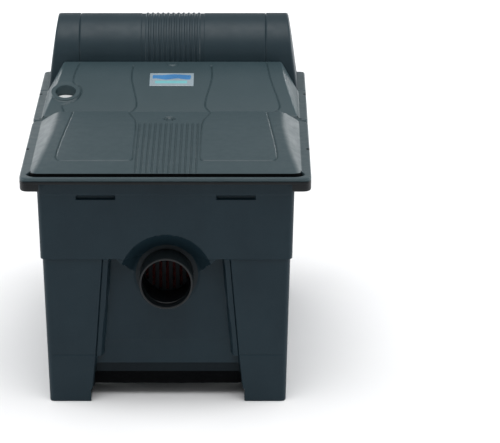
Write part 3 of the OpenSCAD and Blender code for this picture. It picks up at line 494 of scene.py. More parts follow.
@dataclass
class Workshop:
    """Makes mesh objects and dresses them.

    Args:
        datum: Where the millimetres start.
        shelf: Where the finishes come from.
    """

    datum: Datum
    shelf: FinishShelf
    made: list[str] = field(default_factory=list)

    def mesh(self, name: str, verts: np.ndarray, faces: Sequence[Sequence[int]],
             sharp: float = 0.9) -> bpy.types.Object:
        """Makes a smooth-shaded object from points in metres and faces.

        Args:
            name: Piece name.
            verts: Points in metres.
            faces: Vertex numbers of each face.
            sharp: Angle in radians above which an edge stays crisp.

        Returns:
            The new object.
        """
        data = bpy.data.meshes.new(name)
        data.from_pydata(verts.reshape(-1, 3).tolist(), [], [list(map(int, f)) for f in faces])
        data.validate()
        data.shade_smooth()
        data.set_sharp_from_angle(angle=sharp)
        piece = bpy.data.objects.new(name, data)
        bpy.context.scene.collection.objects.link(piece)
        self.made.append(name)
        return piece

    def grid(self, name: str, points: np.ndarray, keep: Optional[np.ndarray] = None,
             closed: bool = False, flip: bool = False, sharp: float = 0.9) -> bpy.types.Object:
        """Makes an object from a grid of points.

        Args:
            name: Piece name.
            points: Array of rows, columns and 3 coordinates in metres.
            keep: Which cells become faces.
            closed: True where the last column meets the first.
            flip: Turns the faces over.
            sharp: Angle above which an edge stays crisp.

        Returns:
            The new object, with coincident points joined and loose points dropped.
        """
        rows, cols = points.shape[:2]
        number = np.arange(rows * cols).reshape(rows, cols)
        nxt = np.roll(number, -1, axis=1) if closed else number[:, 1:]
        cur = number if closed else number[:, :-1]
        quads = np.stack([cur[:-1], nxt[:-1], nxt[1:], cur[1:]], axis=-1)
        if keep is not None:
            quads = quads[keep]
        quads = quads.reshape(-1, 4)
        if flip:
            quads = quads[:, ::-1]
        key = np.round(points.reshape(-1, 3) * 1e6).astype(np.int64)
        _, first, back = np.unique(key, axis=0, return_index=True, return_inverse=True)
        quads = back.reshape(-1)[quads]
        used, quads = np.unique(quads, return_inverse=True)
        verts = points.reshape(-1, 3)[first[used]]
        faces = []
        for quad in quads.reshape(-1, 4):
            loop = list(dict.fromkeys(quad.tolist()))
            if len(loop) > 2:
                faces.append(loop)
        return self.mesh(name, verts, faces, sharp)

    def thicken(self, piece: bpy.types.Object, thickness: float) -> None:
        """Gives a skin its wall, inwards, in millimetres."""
        wall = piece.modifiers.new("wall", "SOLIDIFY")
        wall.thickness = thickness * MM
        wall.offset = -1.0

    def join(self, main: bpy.types.Object, others: Sequence[bpy.types.Object]) -> None:
        """Joins other objects into the main one after applying modifiers."""
        for piece in (main, *others):
            if piece.modifiers:
                graph = bpy.context.evaluated_depsgraph_get()
                data = bpy.data.meshes.new_from_object(piece.evaluated_get(graph))
                piece.modifiers.clear()
                piece.data = data
        for piece in others:
            self.made.remove(piece.name)
        with bpy.context.temp_override(active_object=main, selected_objects=[main, *others],
                                       selected_editable_objects=[main, *others]):
            bpy.ops.object.join()

    def slab(self, name: str, low: Sequence[float], high: Sequence[float],
             edge: float = 0.8) -> bpy.types.Object:
        """Makes a block with eased edges.

        Args:
            name: Piece name.
            low: Lowest corner in millimetres.
            high: Highest corner in millimetres.
            edge: Width of the eased edges.

        Returns:
            The block.
        """
        xs, ys, zs = ([low[i], high[i]] for i in range(3))
        verts = np.array([self.datum.place(x, y, z) for x in xs for y in ys for z in zs])
        faces = [(0, 1, 3, 2), (4, 6, 7, 5), (0, 4, 5, 1), (2, 3, 7, 6), (0, 2, 6, 4), (1, 5, 7, 3)]
        piece = self.mesh(name, verts, faces, 0.5)
        ease = piece.modifiers.new("edge", "BEVEL")
        ease.width = edge * MM
        ease.segments = 3
        return piece

    def coat(self, piece: bpy.types.Object, finish: Finish) -> bpy.types.Object:
        """Gives a whole piece one finish."""
        piece.data.materials.clear()
        piece.data.materials.append(self.shelf.get(finish))
        return piece

    def paint(self, piece: bpy.types.Object, finish: Finish,
              where: Callable[[np.ndarray, np.ndarray, np.ndarray], np.ndarray]) -> None:
        """Gives some faces another finish.

        Args:
            piece: The piece, already coated.
            finish: The other finish.
            where: True for the faces meant, from their centres in millimetres.
        """
        piece.data.materials.append(self.shelf.get(finish))
        faces = piece.data.polygons
        centre = np.zeros(3 * len(faces))
        faces.foreach_get("center", centre)
        x, y, z = (centre.reshape(-1, 3) - (0, self.datum.front, 0)).T / MM
        index = np.zeros(len(faces), dtype=np.int32)
        faces.foreach_get("material_index", index)
        index[where(x, y, z)] = len(piece.data.materials) - 1
        faces.foreach_set("material_index", index)

    def lathe(self, name: str, axis: str, at: tuple[float, float],
              profile: Sequence[tuple[float, float]], steps: int = 72) -> bpy.types.Object:
        """Turns a profile of (position, radius) pairs round an axis.

        Args:
            name: Piece name.
            axis: "x", "y" or "z".
            at: The other two coordinates of the axis, in millimetres.
            profile: The outline, from the outside of one end round to where it began.
            steps: Facets round the axis.

        Returns:
            The turned piece.
        """
        turn = np.linspace(0, 2 * np.pi, steps + 1)[:-1]
        along = np.array([[p[0]] * steps for p in profile])
        first = at[0] + np.array([[p[1] * np.cos(t) for t in turn] for p in profile])
        second = at[1] + np.array([[p[1] * np.sin(t) for t in turn] for p in profile])
        order = {"x": (along, first, second), "y": (first, along, second),
                 "z": (first, second, along)}[axis]
        return self.grid(name, self.datum.place(*order), closed=True, flip=axis == "y", sharp=0.6)

    def dress(self, piece: bpy.types.Object, finish: Finish, slot: str, body: Body,
              *nodes: str) -> bpy.types.Object:
        """Gives a piece its body and a finish if it has none, and hides the nodes it stands for."""
        if not piece.data.materials:
            self.coat(piece, finish)
        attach(piece, body.value)
        if nodes:
            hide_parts(*nodes)
        LOG.info("piece %s on %s", piece.name, body.value)
        return piece


# --------------------------------------------------------------------------- lids


@dataclass
class MouldedSkin:
    """A height field over a rounded plate, with its turned-down edge.

    Args:
        shop: The workshop.
        half: Half width of the plate.
        y0: Front edge.
        y1: Back edge.
        top: Height of the border.
        drop: Depth of the turned-down edge.
        corner: Radius of the plan corners.
        ease: Radius of the top edge.
    """

    shop: Workshop
    half: float
    y0: float
    y1: float
    top: float
    drop: float = 8.0
    corners: tuple[float, float] = (12.0, 12.0)
    ease: float = 2.2

    def build(self, name: str, step: float, xs: Sequence[float], ys: Sequence[float],
              height: Callable[[np.ndarray, np.ndarray], np.ndarray],
              hollow: Optional[Callable[[np.ndarray, np.ndarray], np.ndarray]] = None
              ) -> bpy.types.Object:
        """Builds the skin.

        Args:
            name: Piece name.
            step: Grid spacing.
            xs: Extra grid lines across.
            ys: Extra grid lines along.
            height: Height above the border at x and y.
            hollow: True where there is no material.

        Returns:
            The skin, still without its wall.
        """
        rim = [0.35, 0.9, 1.5, self.ease, 5.0, 8.0]
        across = lines(-self.half, self.half, step,
                       [*xs, *[s * (self.half - r) for r in rim for s in (-1, 1)]])
        down = lines(self.y0, self.y1, step,
                     [*ys, *[self.y0 + r for r in rim], *[self.y1 - r for r in rim]])
        x, y = np.meshgrid(across, down, indexing="ij")
        z = height(x, y)
        edge = np.minimum.reduce([self.half - np.abs(x), y - self.y0, self.y1 - y])
        t = np.clip(self.ease - edge, 0, self.ease)
        z = z - (self.ease - np.sqrt(self.ease ** 2 - t ** 2))
        px, py = self._round_plan(x, y)
        gone = np.zeros(x.shape, dtype=bool) if hollow is None else hollow(x, y)
        px, py, z = (np.pad(a, 1, mode="edge") for a in (px, py, z))
        gone = np.pad(gone, 1, mode="edge")
        z[0, :], z[-1, :], z[:, 0], z[:, -1] = (-self.drop,) * 4
        keep = ~(gone[:-1, :-1] & gone[1:, 1:])
        points = self.shop.datum.place(px, py, z + self.top)
        return self.shop.grid(name, points, keep, flip=True)

    def _round_plan(self, x: np.ndarray, y: np.ndarray) -> tuple[np.ndarray, np.ndarray]:
        """Returns x and y with the plate's corners rounded."""
        px, py = x.copy(), y.copy()
        for r, start, sign in ((self.corners[0], self.y0 + self.corners[0], -1),
                               (self.corners[1], self.y1 - self.corners[1], 1)):
            a = np.clip((np.abs(x) - (self.half - r)) / r, 0, 1)
            b = np.clip(sign * (y - start) / r, 0, 1)
            spot = (a > 0) & (b > 0)
            px = np.where(spot, np.sign(x) * (self.half - r + r * a * np.sqrt(1 - b * b / 2)), px)
            py = np.where(spot, start + sign * r * b * np.sqrt(1 - a * a / 2), py)
        return px, py


@dataclass
class FrontLid:
    """Low front lid with twelve grooves, two outlined panels and a finger dimple."""

    shop: Workshop
    rim: float = 500.0
    half: float = 295.0
    y0: float = 1.0
    y1: float = 402.5
    rise: float = 24.0
    base: float = 276.0
    groove_count: int = 12
    groove_pitch: float = 11.2
    groove_end: float = 310.0
    panel: tuple[tuple[float, float], ...] = (
        (86, 392), (86, 374), (69, 318), (69, 132), (69, 84), (94, 84), (205, 84), (222, 84), (229, 108),
        (208, 374), (208, 392))

    def edge(self, x: np.ndarray, y: np.ndarray) -> np.ndarray:
        """Returns the distance outside the raised part's rounded front outline."""
        dx, dy = np.abs(x) - (275.0 - 16.0), (16.0 + 16.0) - y
        return np.hypot(np.maximum(dx, 0), np.maximum(dy, 0)) + np.minimum(
            np.maximum(dx, dy), 0) - 16.0

    def gap(self, x: np.ndarray, y: np.ndarray) -> np.ndarray:
        """Returns 1 in the narrow gap behind the front lip and 0 elsewhere."""
        rr = self.edge(x, y)
        reach = 8.5 * (1 - ramp(y, 18.0, 48.0))
        return ramp(rr, -1.2, -0.3) * ramp(reach - rr, -0.3, 0.6) * (reach > 0.4)

    def height(self, x: np.ndarray, y: np.ndarray) -> np.ndarray:
        """Returns the lid's height above its border."""
        ax = np.abs(x)
        u = np.clip((y - 20) / 362, 0, 1)
        rr = self.edge(x, y)
        h = 4.0 + (self.rise - 4.0) * (1 - (1 - u) ** 2)
        h = smooth_min(h, 3.2 + (y - 16.0) * 0.35, 2.0)
        h = smooth_min(h, (self.y1 - 2.5 - y) * 2.4, 9.0)
        h = smooth_min(h, (self.base - ax) / 1.45, 5.0)
        h = smooth_max(h, np.zeros_like(h), 1.0)
        h = h * ramp(-rr, -0.5, 0.4)
        d = outline_distance(ax, y, rounded(self.panel), True)
        h = h + 0.7 * ramp(-d, -0.6, 1.4) * ramp(h, 3.0, 6.0)
        h = h - 2.6 * np.exp(-((d + 0.2) / 1.3) ** 2) * ramp(h, 3.0, 6.0)
        pitch = self.groove_pitch
        wave = np.abs(((x / pitch) % 1.0) - 0.5) * pitch
        band = ramp((self.groove_count / 2) * pitch - ax, 0.0, 1.5)
        run = ramp(self.groove_end - y, -3.0, 9.0) * ramp(y, 19.0, 24.0)
        h = h - 2.9 * np.exp(-(wave / 2.2) ** 4) * band * run
        r = np.hypot(x, (y - 338) * 0.95)
        bowl = ramp(15.5 - r, 0.0, 4.5)
        h = h - 5.4 * bowl + 2.2 * ramp(1.2 - np.abs(ax - 5.5), 0, 0.8) * ramp(13.0 - r, 0.0, 2.0)
        h = h - 7.0 * self.gap(x, y)
        notch = ramp(3.6 - np.abs(y - 196), 0, 1.0) * ramp(ax - 288.0, 0, 1.0)
        return h - 0.6 * notch

    def build(self) -> None:
        """Builds the lid with its wall and its locating rib."""
        fine = [*np.arange(-68.0, 68.1, 1.12)]
        for side in (-1, 1):
            fine += [side * v for v in np.arange(257.0, 290.0, 1.0)]
        ys = [*np.arange(4.0, 46.0, 0.9), *np.arange(384.0, 402.0, 1.2)]
        skin = MouldedSkin(self.shop, self.half, self.y0, self.y1, self.rim, corners=(14.0, 27.0))
        lid = skin.build("front_lid_shell", 1.5, fine, ys, self.height)
        self.shop.coat(lid, Finish.LID)
        # painted shade: black on the groove behind the front lip, on the raised part's front wall and in
        # the side notches
        self.shop.paint(lid, Finish.SHADE, lambda x, y, z: (
            (self.gap(x, y) > 0.3)
            | ((self.edge(x, y) > -2.4) & (self.edge(x, y) < 0.8) & (y < 34)))
            | ((np.abs(y - 196) < 3.6) & (np.abs(x) > 287.5)))
        self.shop.thicken(lid, 3.0)
        rib = locating_rib(self.shop, "front_lid_rib", 253.6, 27.0, 390.0, 488.5, 499.0)
        self.shop.join(lid, [self.shop.coat(part, Finish.LID) for part in rib])
        self.shop.dress(lid, Finish.LID, "lid_plastic", Body.FRONT_LID, "front_lid")


def locating_rib(shop: Workshop, name: str, half: float, y0: float, y1: float, z0: float,
                 z1: float) -> list[bpy.types.Object]:
    """Makes the four strips that drop into the tub and the ledge they hang from.

    Args:
        shop: The workshop.
        name: Start of the names.
        half: Outer half width.
        y0: Front.
        y1: Back.
        z0: Bottom.
        z1: Top.

    Returns:
        The strips.
    """
    spans = [((-half, y0), (-half + 3, y1)), ((half - 3, y0), (half, y1)),
             ((-half, y0), (half, y0 + 3)), ((-half, y1 - 3), (half, y1))]
    strips = [shop.slab(f"{name}_{i}", (*low, z0), (*high, z1)) for i, (low, high) in enumerate(spans)]
    ledges = [((-half - 20, y0), (-half + 3, y1)), ((half - 3, y0), (half + 20, y1)),
              ((-half, y0 - 5), (half, y0 + 3)), ((-half, y1 - 3), (half, y1 + 5))]
    strips += [shop.slab(f"{name}_ledge_{i}", (*low, 496.2), (*high, 498.6), 0.4)
               for i, (low, high) in enumerate(ledges)]
    return strips


@dataclass
class RearLid:
    """Sloping rear lid with outlined panels, a gauge opening, a name plate and a button."""

    shop: Workshop
    rim: float = 500.0
    half: float = 295.0
    y0: float = 405.5
    y1: float = 632.0
    rise: float = 67.0
    base: float = 277.0
    gauge: tuple[float, float] = (-229.0, 490.0)
    inner: tuple[tuple[float, float], ...] = (
        (86, 606), (89, 545), (74, 458), (74, 440), (84, 426))
    outer: tuple[tuple[float, float], ...] = (
        (208, 624), (215, 540), (235, 448), (235, 436), (226, 426))
    outer_cut: tuple[tuple[float, float], ...] = (
        (-205, 624), (-214, 560), (-215, 524), (-200, 514), (-193, 492), (-203, 462),
        (-226, 450), (-236, 444), (-230, 428))

    def height(self, x: np.ndarray, y: np.ndarray) -> np.ndarray:
        """Returns the lid's height above its border."""
        ax = np.abs(x)
        u = np.clip((y - 415) / 217, 0, 1)
        h = 8 + (self.rise - 8) * (1.73 * u - 0.73 * u * u)
        h = smooth_min(h, (y - 408) * 2.2, 5.0)
        h = smooth_min(h, (self.base - ax) / 0.55, 7.0)
        h = smooth_max(h, np.zeros_like(h), 1.5)
        mask = ramp(h, 4.0, 9.0)
        for path, side in ((self.inner, 0), (self.outer, 1), (self.outer_cut, -1)):
            px = ax if side == 0 else x
            d = outline_distance(px, y, rounded(path, False), False)
            h = h - 2.8 * np.exp(-(d / 1.35) ** 2) * mask
        gx, gy = self.gauge
        r = np.hypot(x - gx, y - gy)
        h = h - 1.8 * np.exp(-((r - 33.5) / 1.05) ** 2) * mask
        button = np.hypot(x, y - 617)
        h = h + 1.6 * ramp(10.5 - button, 0.0, 2.0) - 1.2 * np.exp(-((button - 12) / 1.3) ** 2)
        return np.minimum(h - 0.6 * self.pit(x, y), self.rise)

    def pit(self, x: np.ndarray, y: np.ndarray) -> np.ndarray:
        """Returns 1 in the small openings along the lid's edges and 0 elsewhere."""
        ax = np.abs(x)
        notch = ramp(3.6 - np.abs(y - 603), 0, 1.0) * ramp(ax - 288.0, 0, 1.0)
        tab = ramp(2.4 - np.abs(y - 413), 0, 0.8) * ramp(5.5 - np.abs(ax - 277), 0, 1.0)
        return np.maximum(notch, tab)

    def build(self) -> None:
        """Builds the lid, its plate, its gauge ring and the float."""
        shop = self.shop
        skin = MouldedSkin(shop, self.half, self.y0, self.y1, self.rim, corners=(9.0, 4.0))
        gx, gy = self.gauge

        def hollow(x: np.ndarray, y: np.ndarray) -> np.ndarray:
            """Returns True inside the gauge's opening."""
            return np.hypot(x - gx, y - gy) < 26.5

        xs = [s * v for v in np.arange(240.0, 290.0, 1.1) for s in (-1, 1)]
        lid = skin.build("rear_lid_shell", 1.5, xs, np.arange(406.5, 420.0, 0.9), self.height, hollow)
        shop.coat(lid, Finish.LID)
        # painted shade: black in the shallow notches and tabs along the lid's edges
        shop.paint(lid, Finish.SHADE, lambda x, y, z: self.pit(x, y) > 0.3)
        shop.thicken(lid, 3.0)
        back = shop.slab("rear_lid_back", (-240, 629.2, 497), (240, 631.8, self.rim + self.rise - 1))
        rib = locating_rib(shop, "rear_lid_rib", 253.6, 418.5, 616.0, 488.5, 499.0)
        shop.join(lid, [shop.coat(part, Finish.LID) for part in (back, *rib)])
        shop.dress(lid, Finish.LID, "lid_plastic", Body.REAR_LID, "rear_lid")
        self._plate()
        self._float()

    def _float(self) -> None:
        """Makes the clogging indicator's float: a white disc, its stem and its bulb."""
        gx, gy = self.gauge
        top = 538.1
        profile = [(top - 12, 0.01), (top - 12, 17.5), (top - 12.8, 19.6), (top - 15, 20.4),
                   (top - 41, 20.4), (top - 42.6, 19.4), (top - 43, 17.5), (top - 43, 4.0),
                   (top - 73, 4.0), (top - 74, 12.6), (top - 76, 14.0), (top - 98, 14.0),
                   (top - 100, 12.4), (top - 100, 0.01)]
        disc = self.shop.lathe("float_marker", "z", (gx, gy), profile[::-1])
        self.shop.dress(disc, Finish.FLOAT, "float_white", Body.FLOAT, "indicator_float")

    def _plate(self) -> None:
        """Makes the name plate with a generic wave and a bar, no lettering."""
        shop = self.shop
        xs = np.linspace(-48, 48, 129)
        ys = np.linspace(512, 566, 73)
        x, y = np.meshgrid(xs, ys, indexing="ij")
        u = np.clip((y - 415) / 217, 0, 1)
        surface = self.rim + 8 + (self.rise - 8) * (1.73 * u - 0.73 * u * u)
        edge = np.minimum(48 - np.abs(x), np.minimum(y - 512, 566 - y))
        lift = 1.15 - 0.9 * np.clip(1.2 - edge, 0, 1.2) / 1.2
        frame = 0.25 * ramp(edge, 3.0, 4.0)
        plate = shop.grid("name_plate", shop.datum.place(x, y, surface + lift - frame), flip=True)
        shop.dress(plate, Finish.SILVER, "label_silver", Body.REAR_LID, "label_plate")
        plate.data.materials.append(shop.shelf.get(Finish.BLUE))
        plate.data.materials.append(shop.shelf.get(Finish.TEAL))
        cx, cy = (x[:-1, :-1] + x[1:, 1:]) / 2, (y[:-1, :-1] + y[1:, 1:]) / 2
        low = 539 + 2.2 * np.sin(cx / 7.5)
        high = 558 + 1.8 * np.sin(cx / 11.0 + 1.0)
        wave = (cy > low) & (cy < high) & (np.abs(cx) < 42 - 0.02 * (cy - 548) ** 2)
        bar = (cy > 521) & (cy < 532) & (np.abs(cx + 1) < 35)
        kind = np.where(wave, 1, np.where(bar, 2, 0)).reshape(-1)
        centres = {}
        for face in plate.data.polygons:
            centres[face.index] = face.center
        for index, centre in centres.items():
            i = int(np.clip((centre.x / MM + 48) / 0.75, 0, 127))
            j = int(np.clip(((centre.y - shop.datum.front) / MM - 512) / 0.75, 0, 71))
            plate.data.polygons[index].material_index = int(kind[i * 72 + j])


@dataclass
class Hood:
    """Hinged hood: a half round shell with drafted ends, seams and a ribbed band."""

    shop: Workshop
    rim: float = 500.0
    y0: float = 634.0
    length: float = 154.0
    wall: float = 78.0
    half: float = 277.0
    draft: float = 0.135
    rib_pitch: float = 11.4
    rib_half: float = 68.0
    seam_x: float = 206.0

    def outline(self) -> tuple[np.ndarray, np.ndarray]:
        """Returns the side outline as y and z, from the front foot over the top to the back."""
        r = self.length / 2
        front = lines(self.rim, self.rim + self.wall, 3.0)
        turn = np.linspace(np.pi, 0, 92)
        cy, cz = self.y0 + r, self.rim + self.wall
        y = np.concatenate([np.full(front.size, self.y0), cy + r * np.cos(turn[1:-1]),
                            np.full(front.size, self.y0 + self.length)])
        z = np.concatenate([front, cz + r * np.sin(turn[1:-1]), front[::-1]])
        return y, z

    def relief(self, x: np.ndarray) -> np.ndarray:
        """Returns how far the surface stands out at x, for the ribs and seams."""
        ax = np.abs(x)
        wave = np.abs(((x / self.rib_pitch + 0.5) % 1.0) - 0.5) * self.rib_pitch
        band = ramp(self.rib_half - ax, -0.8, 0.8)
        ribs = ramp(3.9 - wave, 0.0, 1.8) * ramp(63.5 - ax, 0.0, 1.0)
        seam = np.exp(-((ax - self.seam_x) / 1.0) ** 2)
        edge = np.exp(-((ax - self.rib_half - 1.0) / 0.9) ** 2)
        end = ramp(ax, self.seam_x + 0.2, self.seam_x + 1.6)
        return -0.6 - 0.9 * band + 1.9 * ribs - 1.3 * seam - 1.0 * edge + 0.45 * end

    def build(self) -> None:
        """Builds the shell, its ends, its foot plate and the hinge knuckles."""
        shop = self.shop
        y, z = self.outline()
        r = self.length / 2
        cy, cz = self.y0 + r, self.rim + self.wall
        spine = np.minimum(z, cz)
        ny, nz = y - cy, z - spine
        size = np.hypot(ny, nz)
        ny, nz = ny / size, nz / size
        ease = 4.5
        mid = lines(-262, 262, 3.2, [*np.arange(-72.0, 72.1, 0.95),
                                     *[s * (206 + d) for d in (-2, -1, 0, 1, 2) for s in (-1, 1)]])
        rows = []
        reach = self.half - self.draft * (z - self.rim) - ease
        for x in mid:
            out = self.relief(np.array(x))
            px = np.sign(x) * np.where(np.abs(x) < 215, np.abs(x),
                                       215 + (np.abs(x) - 215) * (reach - 215) / (262 - 215))
            rows.append((px, y + ny * out, z + nz * out))
        end = []
        for angle in np.linspace(0.15, 1, 6) * np.pi / 2:
            inset = ease * (1 - np.cos(angle)) + 0.2
            end.append((reach + ease * np.sin(angle), y - ny * inset, z - nz * inset))
        for share in (0.9, 0.7, 0.45, 0.2, 0.0):
            k = share * (size - ease - 0.2)
            zz = spine + nz * k
            end.append((self.half - self.draft * (zz - self.rim), cy + ny * k, zz))
        left = [(-px, py, pz) for px, py, pz in end[::-1]]
        points = np.stack([shop.datum.place(*row) for row in (*left, *rows, *end)])
        shell = shop.grid("hood_shell", points, flip=True, sharp=0.7)
        shop.coat(shell, Finish.HOOD)
        shop.thicken(shell, 3.2)
        shop.join(shell, [shop.coat(part, Finish.LID) for part in (self._foot(), *self._knuckles())])
        shop.dress(shell, Finish.HOOD, "hood_plastic", Body.HOOD, "screen_cover")

    def _foot(self) -> bpy.types.Object:
        """Makes the flat border round the hood's foot."""
        skin = MouldedSkin(self.shop, 295.0, self.y0, self.y0 + self.length, self.rim,
                           corners=(4.0, 14.0))

        def flat(x: np.ndarray, y: np.ndarray) -> np.ndarray:
            """Returns a level surface."""
            return 0.0 * x

        def hollow(x: np.ndarray, y: np.ndarray) -> np.ndarray:
            """Returns True inside the foot's frame, which is open."""
            return (np.abs(x) < 274.5) & (y > self.y0 + 2.6) & (y < self.y0 + self.length - 2.6)

        foot = skin.build("hood_foot", 6.0, [-274.5, 274.5, -276, 276],
                          [self.y0 + 2.6, self.y0 + self.length - 2.6], flat, hollow)
        self.shop.thicken(foot, 3.0)
        return foot

    def _knuckles(self) -> list[bpy.types.Object]:
        """Makes the two hinge knuckles behind the hood."""
        out = []
        for side in (-1, 1):
            x0, x1 = sorted((side * 169.5, side * 185.0))
            out.append(barrel(self.shop, f"hood_knuckle_{side + 1}", x0, x1, 794.0, 492.0, 5.0, 2.6))
            out.append(self.shop.slab(f"hood_web_{side + 1}", (x0, 785.5, 492.4), (x1, 791.5, 497.0), 0.5))
        return out


def barrel(shop: Workshop, name: str, x0: float, x1: float, y: float, z: float, outer: float,
           inner: float) -> bpy.types.Object:
    """Makes a short tube along x with eased ends.

    Args:
        shop: The workshop.
        name: Piece name.
        x0: Start.
        x1: End.
        y: Axis position.
        z: Axis height.
        outer: Outer radius.
        inner: Inner radius.

    Returns:
        The tube.
    """
    ease = 0.6
    profile = [(x0, inner), (x0, outer - ease), (x0 + ease, outer), (x1 - ease, outer),
               (x1, outer - ease), (x1, inner), (x0, inner)]
    turn = np.linspace(0, 2 * np.pi, 41)[:-1]
    px = np.array([[p[0]] * turn.size for p in profile])
    py = np.array([[y + p[1] * np.cos(t) for t in turn] for p in profile])
    pz = np.array([[z + p[1] * np.sin(t) for t in turn] for p in profile])
    return shop.grid(name, shop.datum.place(px, py, pz), closed=True, sharp=0.6)


# --------------------------------------------------------------------------- tub


@dataclass
class Tub:
    """Tapered tub with an upper band, four legs, a recessed front and an arch over the outlet."""

    shop: Workshop
    rim_bottom: float = 486.0
    rim_top: float = 492.0
    half: float = 295.0
    length: float = 788.0
    side_in: float = 33.0
    front_in: float = 20.0
    draft: float = 0.026
    step_z: float = 318.0
    step_in: float = 4.0
    corner: float = 11.0
    recess_y: float = 57.5
    outlet_z: float = 275.0
    arch_r: float = 95.0
    arch_small: float = 57.0
    leg_gap: float = 28.0
    leg_x: float = 159.9
    leg_l: float = 100.0
    shade_black_top_z: float = 58.0
    shade_deep_top_z: float = 77.5
    wall: float = 4.6
    nodes: Sequence[str] = ()

    def width(self, z: np.ndarray) -> np.ndarray:
        """Returns the body's half width at height z."""
        inward = self.step_in * ramp(-z, -self.step_z, -self.step_z + 1.5)
        return self.half - self.side_in - self.draft * (self.rim_bottom - z) - inward

    def front(self, z: np.ndarray) -> np.ndarray:
        """Returns the plain front's y at height z."""
        inward = self.step_in * ramp(-z, -self.step_z, -self.step_z + 1.5)
        return self.front_in + self.draft * (self.rim_bottom - z) + inward

    def back(self, z: np.ndarray) -> np.ndarray:
        """Returns the back's y at height z."""
        inward = self.step_in * ramp(-z, -self.step_z, -self.step_z + 1.5)
        return self.length - self.side_in - self.draft * (self.rim_bottom - z) - inward

    def leg_edge(self, z: np.ndarray) -> np.ndarray:
        """Returns how far from the middle the front legs' inner edges are."""
        return np.interp(z, [0, 105, 313], [self.leg_x, 149.0, 132.0])

    def front_relief(self, x: np.ndarray, z: np.ndarray) -> np.ndarray:
        """Returns how far the surface lies behind the plain front."""
        ax = np.abs(x)
        plain = self.front(z)
        inward = self.leg_edge(z) - ax
        chamfer = ramp(z, 99.0, 101.0)
        strip = (3.0 + np.clip(inward, 0, 13.5) * 0.1 + 2.4 * np.exp(-((inward - 1.2) / 1.0) ** 2)
                 ) * chamfer
        wall = np.clip((inward - 13.5 * chamfer) / 4.5, 0, 1)
        foot_z = [28, 34, 45, 60, 76, 78, 129, 131]
        foot_depth = [13, 10, 7, 4.6, 3.0, 1.8, 1.0, 0]
        panel_y = self.recess_y + np.interp(z, foot_z, foot_depth)
        deep = panel_y - plain
        cut = smooth_min(strip + wall * (deep - strip), deep, 1.5)
        cut = np.where(inward > 0, np.maximum(cut, 0), 0)
        cut = cut * ramp(-z, -(self.step_z - 0.5), -(self.step_z - 5.5))
        brow = ramp(z - (313 - (101 - ax)), -1.2, 1.2) * (z < self.step_z + 1) * ramp(103.5 - ax, 0, 2)
        cut = cut * (1 - brow)
        r = np.hypot(x, z - self.outlet_z)
        slope = (self.recess_y - 20.5) / (self.arch_r - self.arch_small)
        cone = np.clip((self.arch_r - r) * slope, 0, self.recess_y + 0.4 - plain)
        cone = cone + 1.6 * ramp(self.arch_r - r, 0.0, 0.8) * (cone < self.recess_y - plain - 2)
        cut = np.maximum(cut, cone)
        cut = cut + 0.8 * np.exp(-((z - 105.0) / 1.0) ** 2) * (inward < 0)
        pocket = ramp(ax, 102.5, 104.5) * ramp(-ax, -182.5, -180.5)
        pocket = pocket * ramp(z, 446.5, 448.0) * ramp(-z, -456.5, -455.0)
        cut = cut + 9.0 * pocket
        return cut - 1.3 * ramp(z, 457.0, 458.6) * ramp(250 - ax, 0, 4)

    def _side_relief(self, y: np.ndarray, z: np.ndarray) -> np.ndarray:
        """Returns how far a side panel lies inside the plain side."""
        d = np.minimum(y - 165, 620 - y)
        d = np.minimum(d, (302 - z))
        return 3.6 * ramp(d, 0.0, 9.0)

    def build(self) -> None:
        """Builds the tub, its rim and its grips."""
        shop = self.shop
        zs = lines(0, self.rim_bottom, 2.6, [
            self.leg_gap, 4.0, 2.0, 0.8, 58, 76, 78, 104, 105, 106, 129, 131, *np.arange(308.0, 322.0, 1.0),
            *np.arange(445.0, 460.1, 0.75), 396.0, 464.0, 302.0])
        top_edge = float(self.leg_edge(np.array(self.step_z)))
        marks = [101.5, 103, 104.5, 106, 179, 180.5, 182, 183.5]
        marks += [top_edge - d for d in (-1.0, 0.0, 0.6, 1.2, 1.8, 2.6, 4.0, 12.5, 13.5, 15.0, 18.0)]
        fx = lines(-244, 244, 2.1, [s * v for v in marks for s in (-1, 1)])
        bx = lines(-244, 244, 7.0, [-141.0, 141.0, -148, 148])
        sy = lines(0, 1, 0.012)
        loop_x, loop_y = [], []
        for z in zs:
            w, f, b = (float(g(np.array(z))) for g in (self.width, self.front, self.back))
            c = self.corner
            ease = 2.4 - np.sqrt(max(2.4 ** 2 - max(2.4 - z, 0) ** 2, 0))
            w, f, b = w - ease, f + ease, b - ease
            fxx = self._spread(fx, w - c)
            shift = float(self.leg_edge(np.array(min(z, self.step_z)))) - top_edge
            afx = np.abs(fxx)
            share = np.minimum((afx - 50.0) / (top_edge - 50.0), (235.0 - afx) / (235.0 - top_edge))
            fxx = np.sign(fxx) * (afx + shift * np.clip(share, 0, 1))
            front_y = f + self.front_relief(fxx, np.array(z))
            bxx = self._spread(bx, w - c)[::-1]
            arc = np.linspace(0, np.pi / 2, 9)[1:-1]
            ys = f + c + sy * (b - f - 2 * c)
            relief = self._side_relief(ys, np.array(z))
            xs = np.concatenate([
                fxx, w - c + c * np.sin(arc), w - relief, w - c + c * np.cos(arc), bxx,
                -(w - c) - c * np.sin(arc), -(w - relief)[::-1], -(w - c) - c * np.cos(arc)])
            yy = np.concatenate([
                front_y, f + c - c * np.cos(arc), ys, b - c + c * np.sin(arc),
                np.full(bxx.size, b), b - c + c * np.cos(arc), ys[::-1], f + c - c * np.sin(arc)])
            loop_x.append(xs)
            loop_y.append(yy)
        x, y = np.array(loop_x), np.array(loop_y)
        z = np.broadcast_to(zs[:, None], x.shape)
        keep = self._kept(x, y, z)
        points = shop.datum.place(x, y, z)
        shell = shop.grid("tub_shell", points, keep, closed=True, sharp=0.75)
        shop.coat(shell, Finish.TUB)
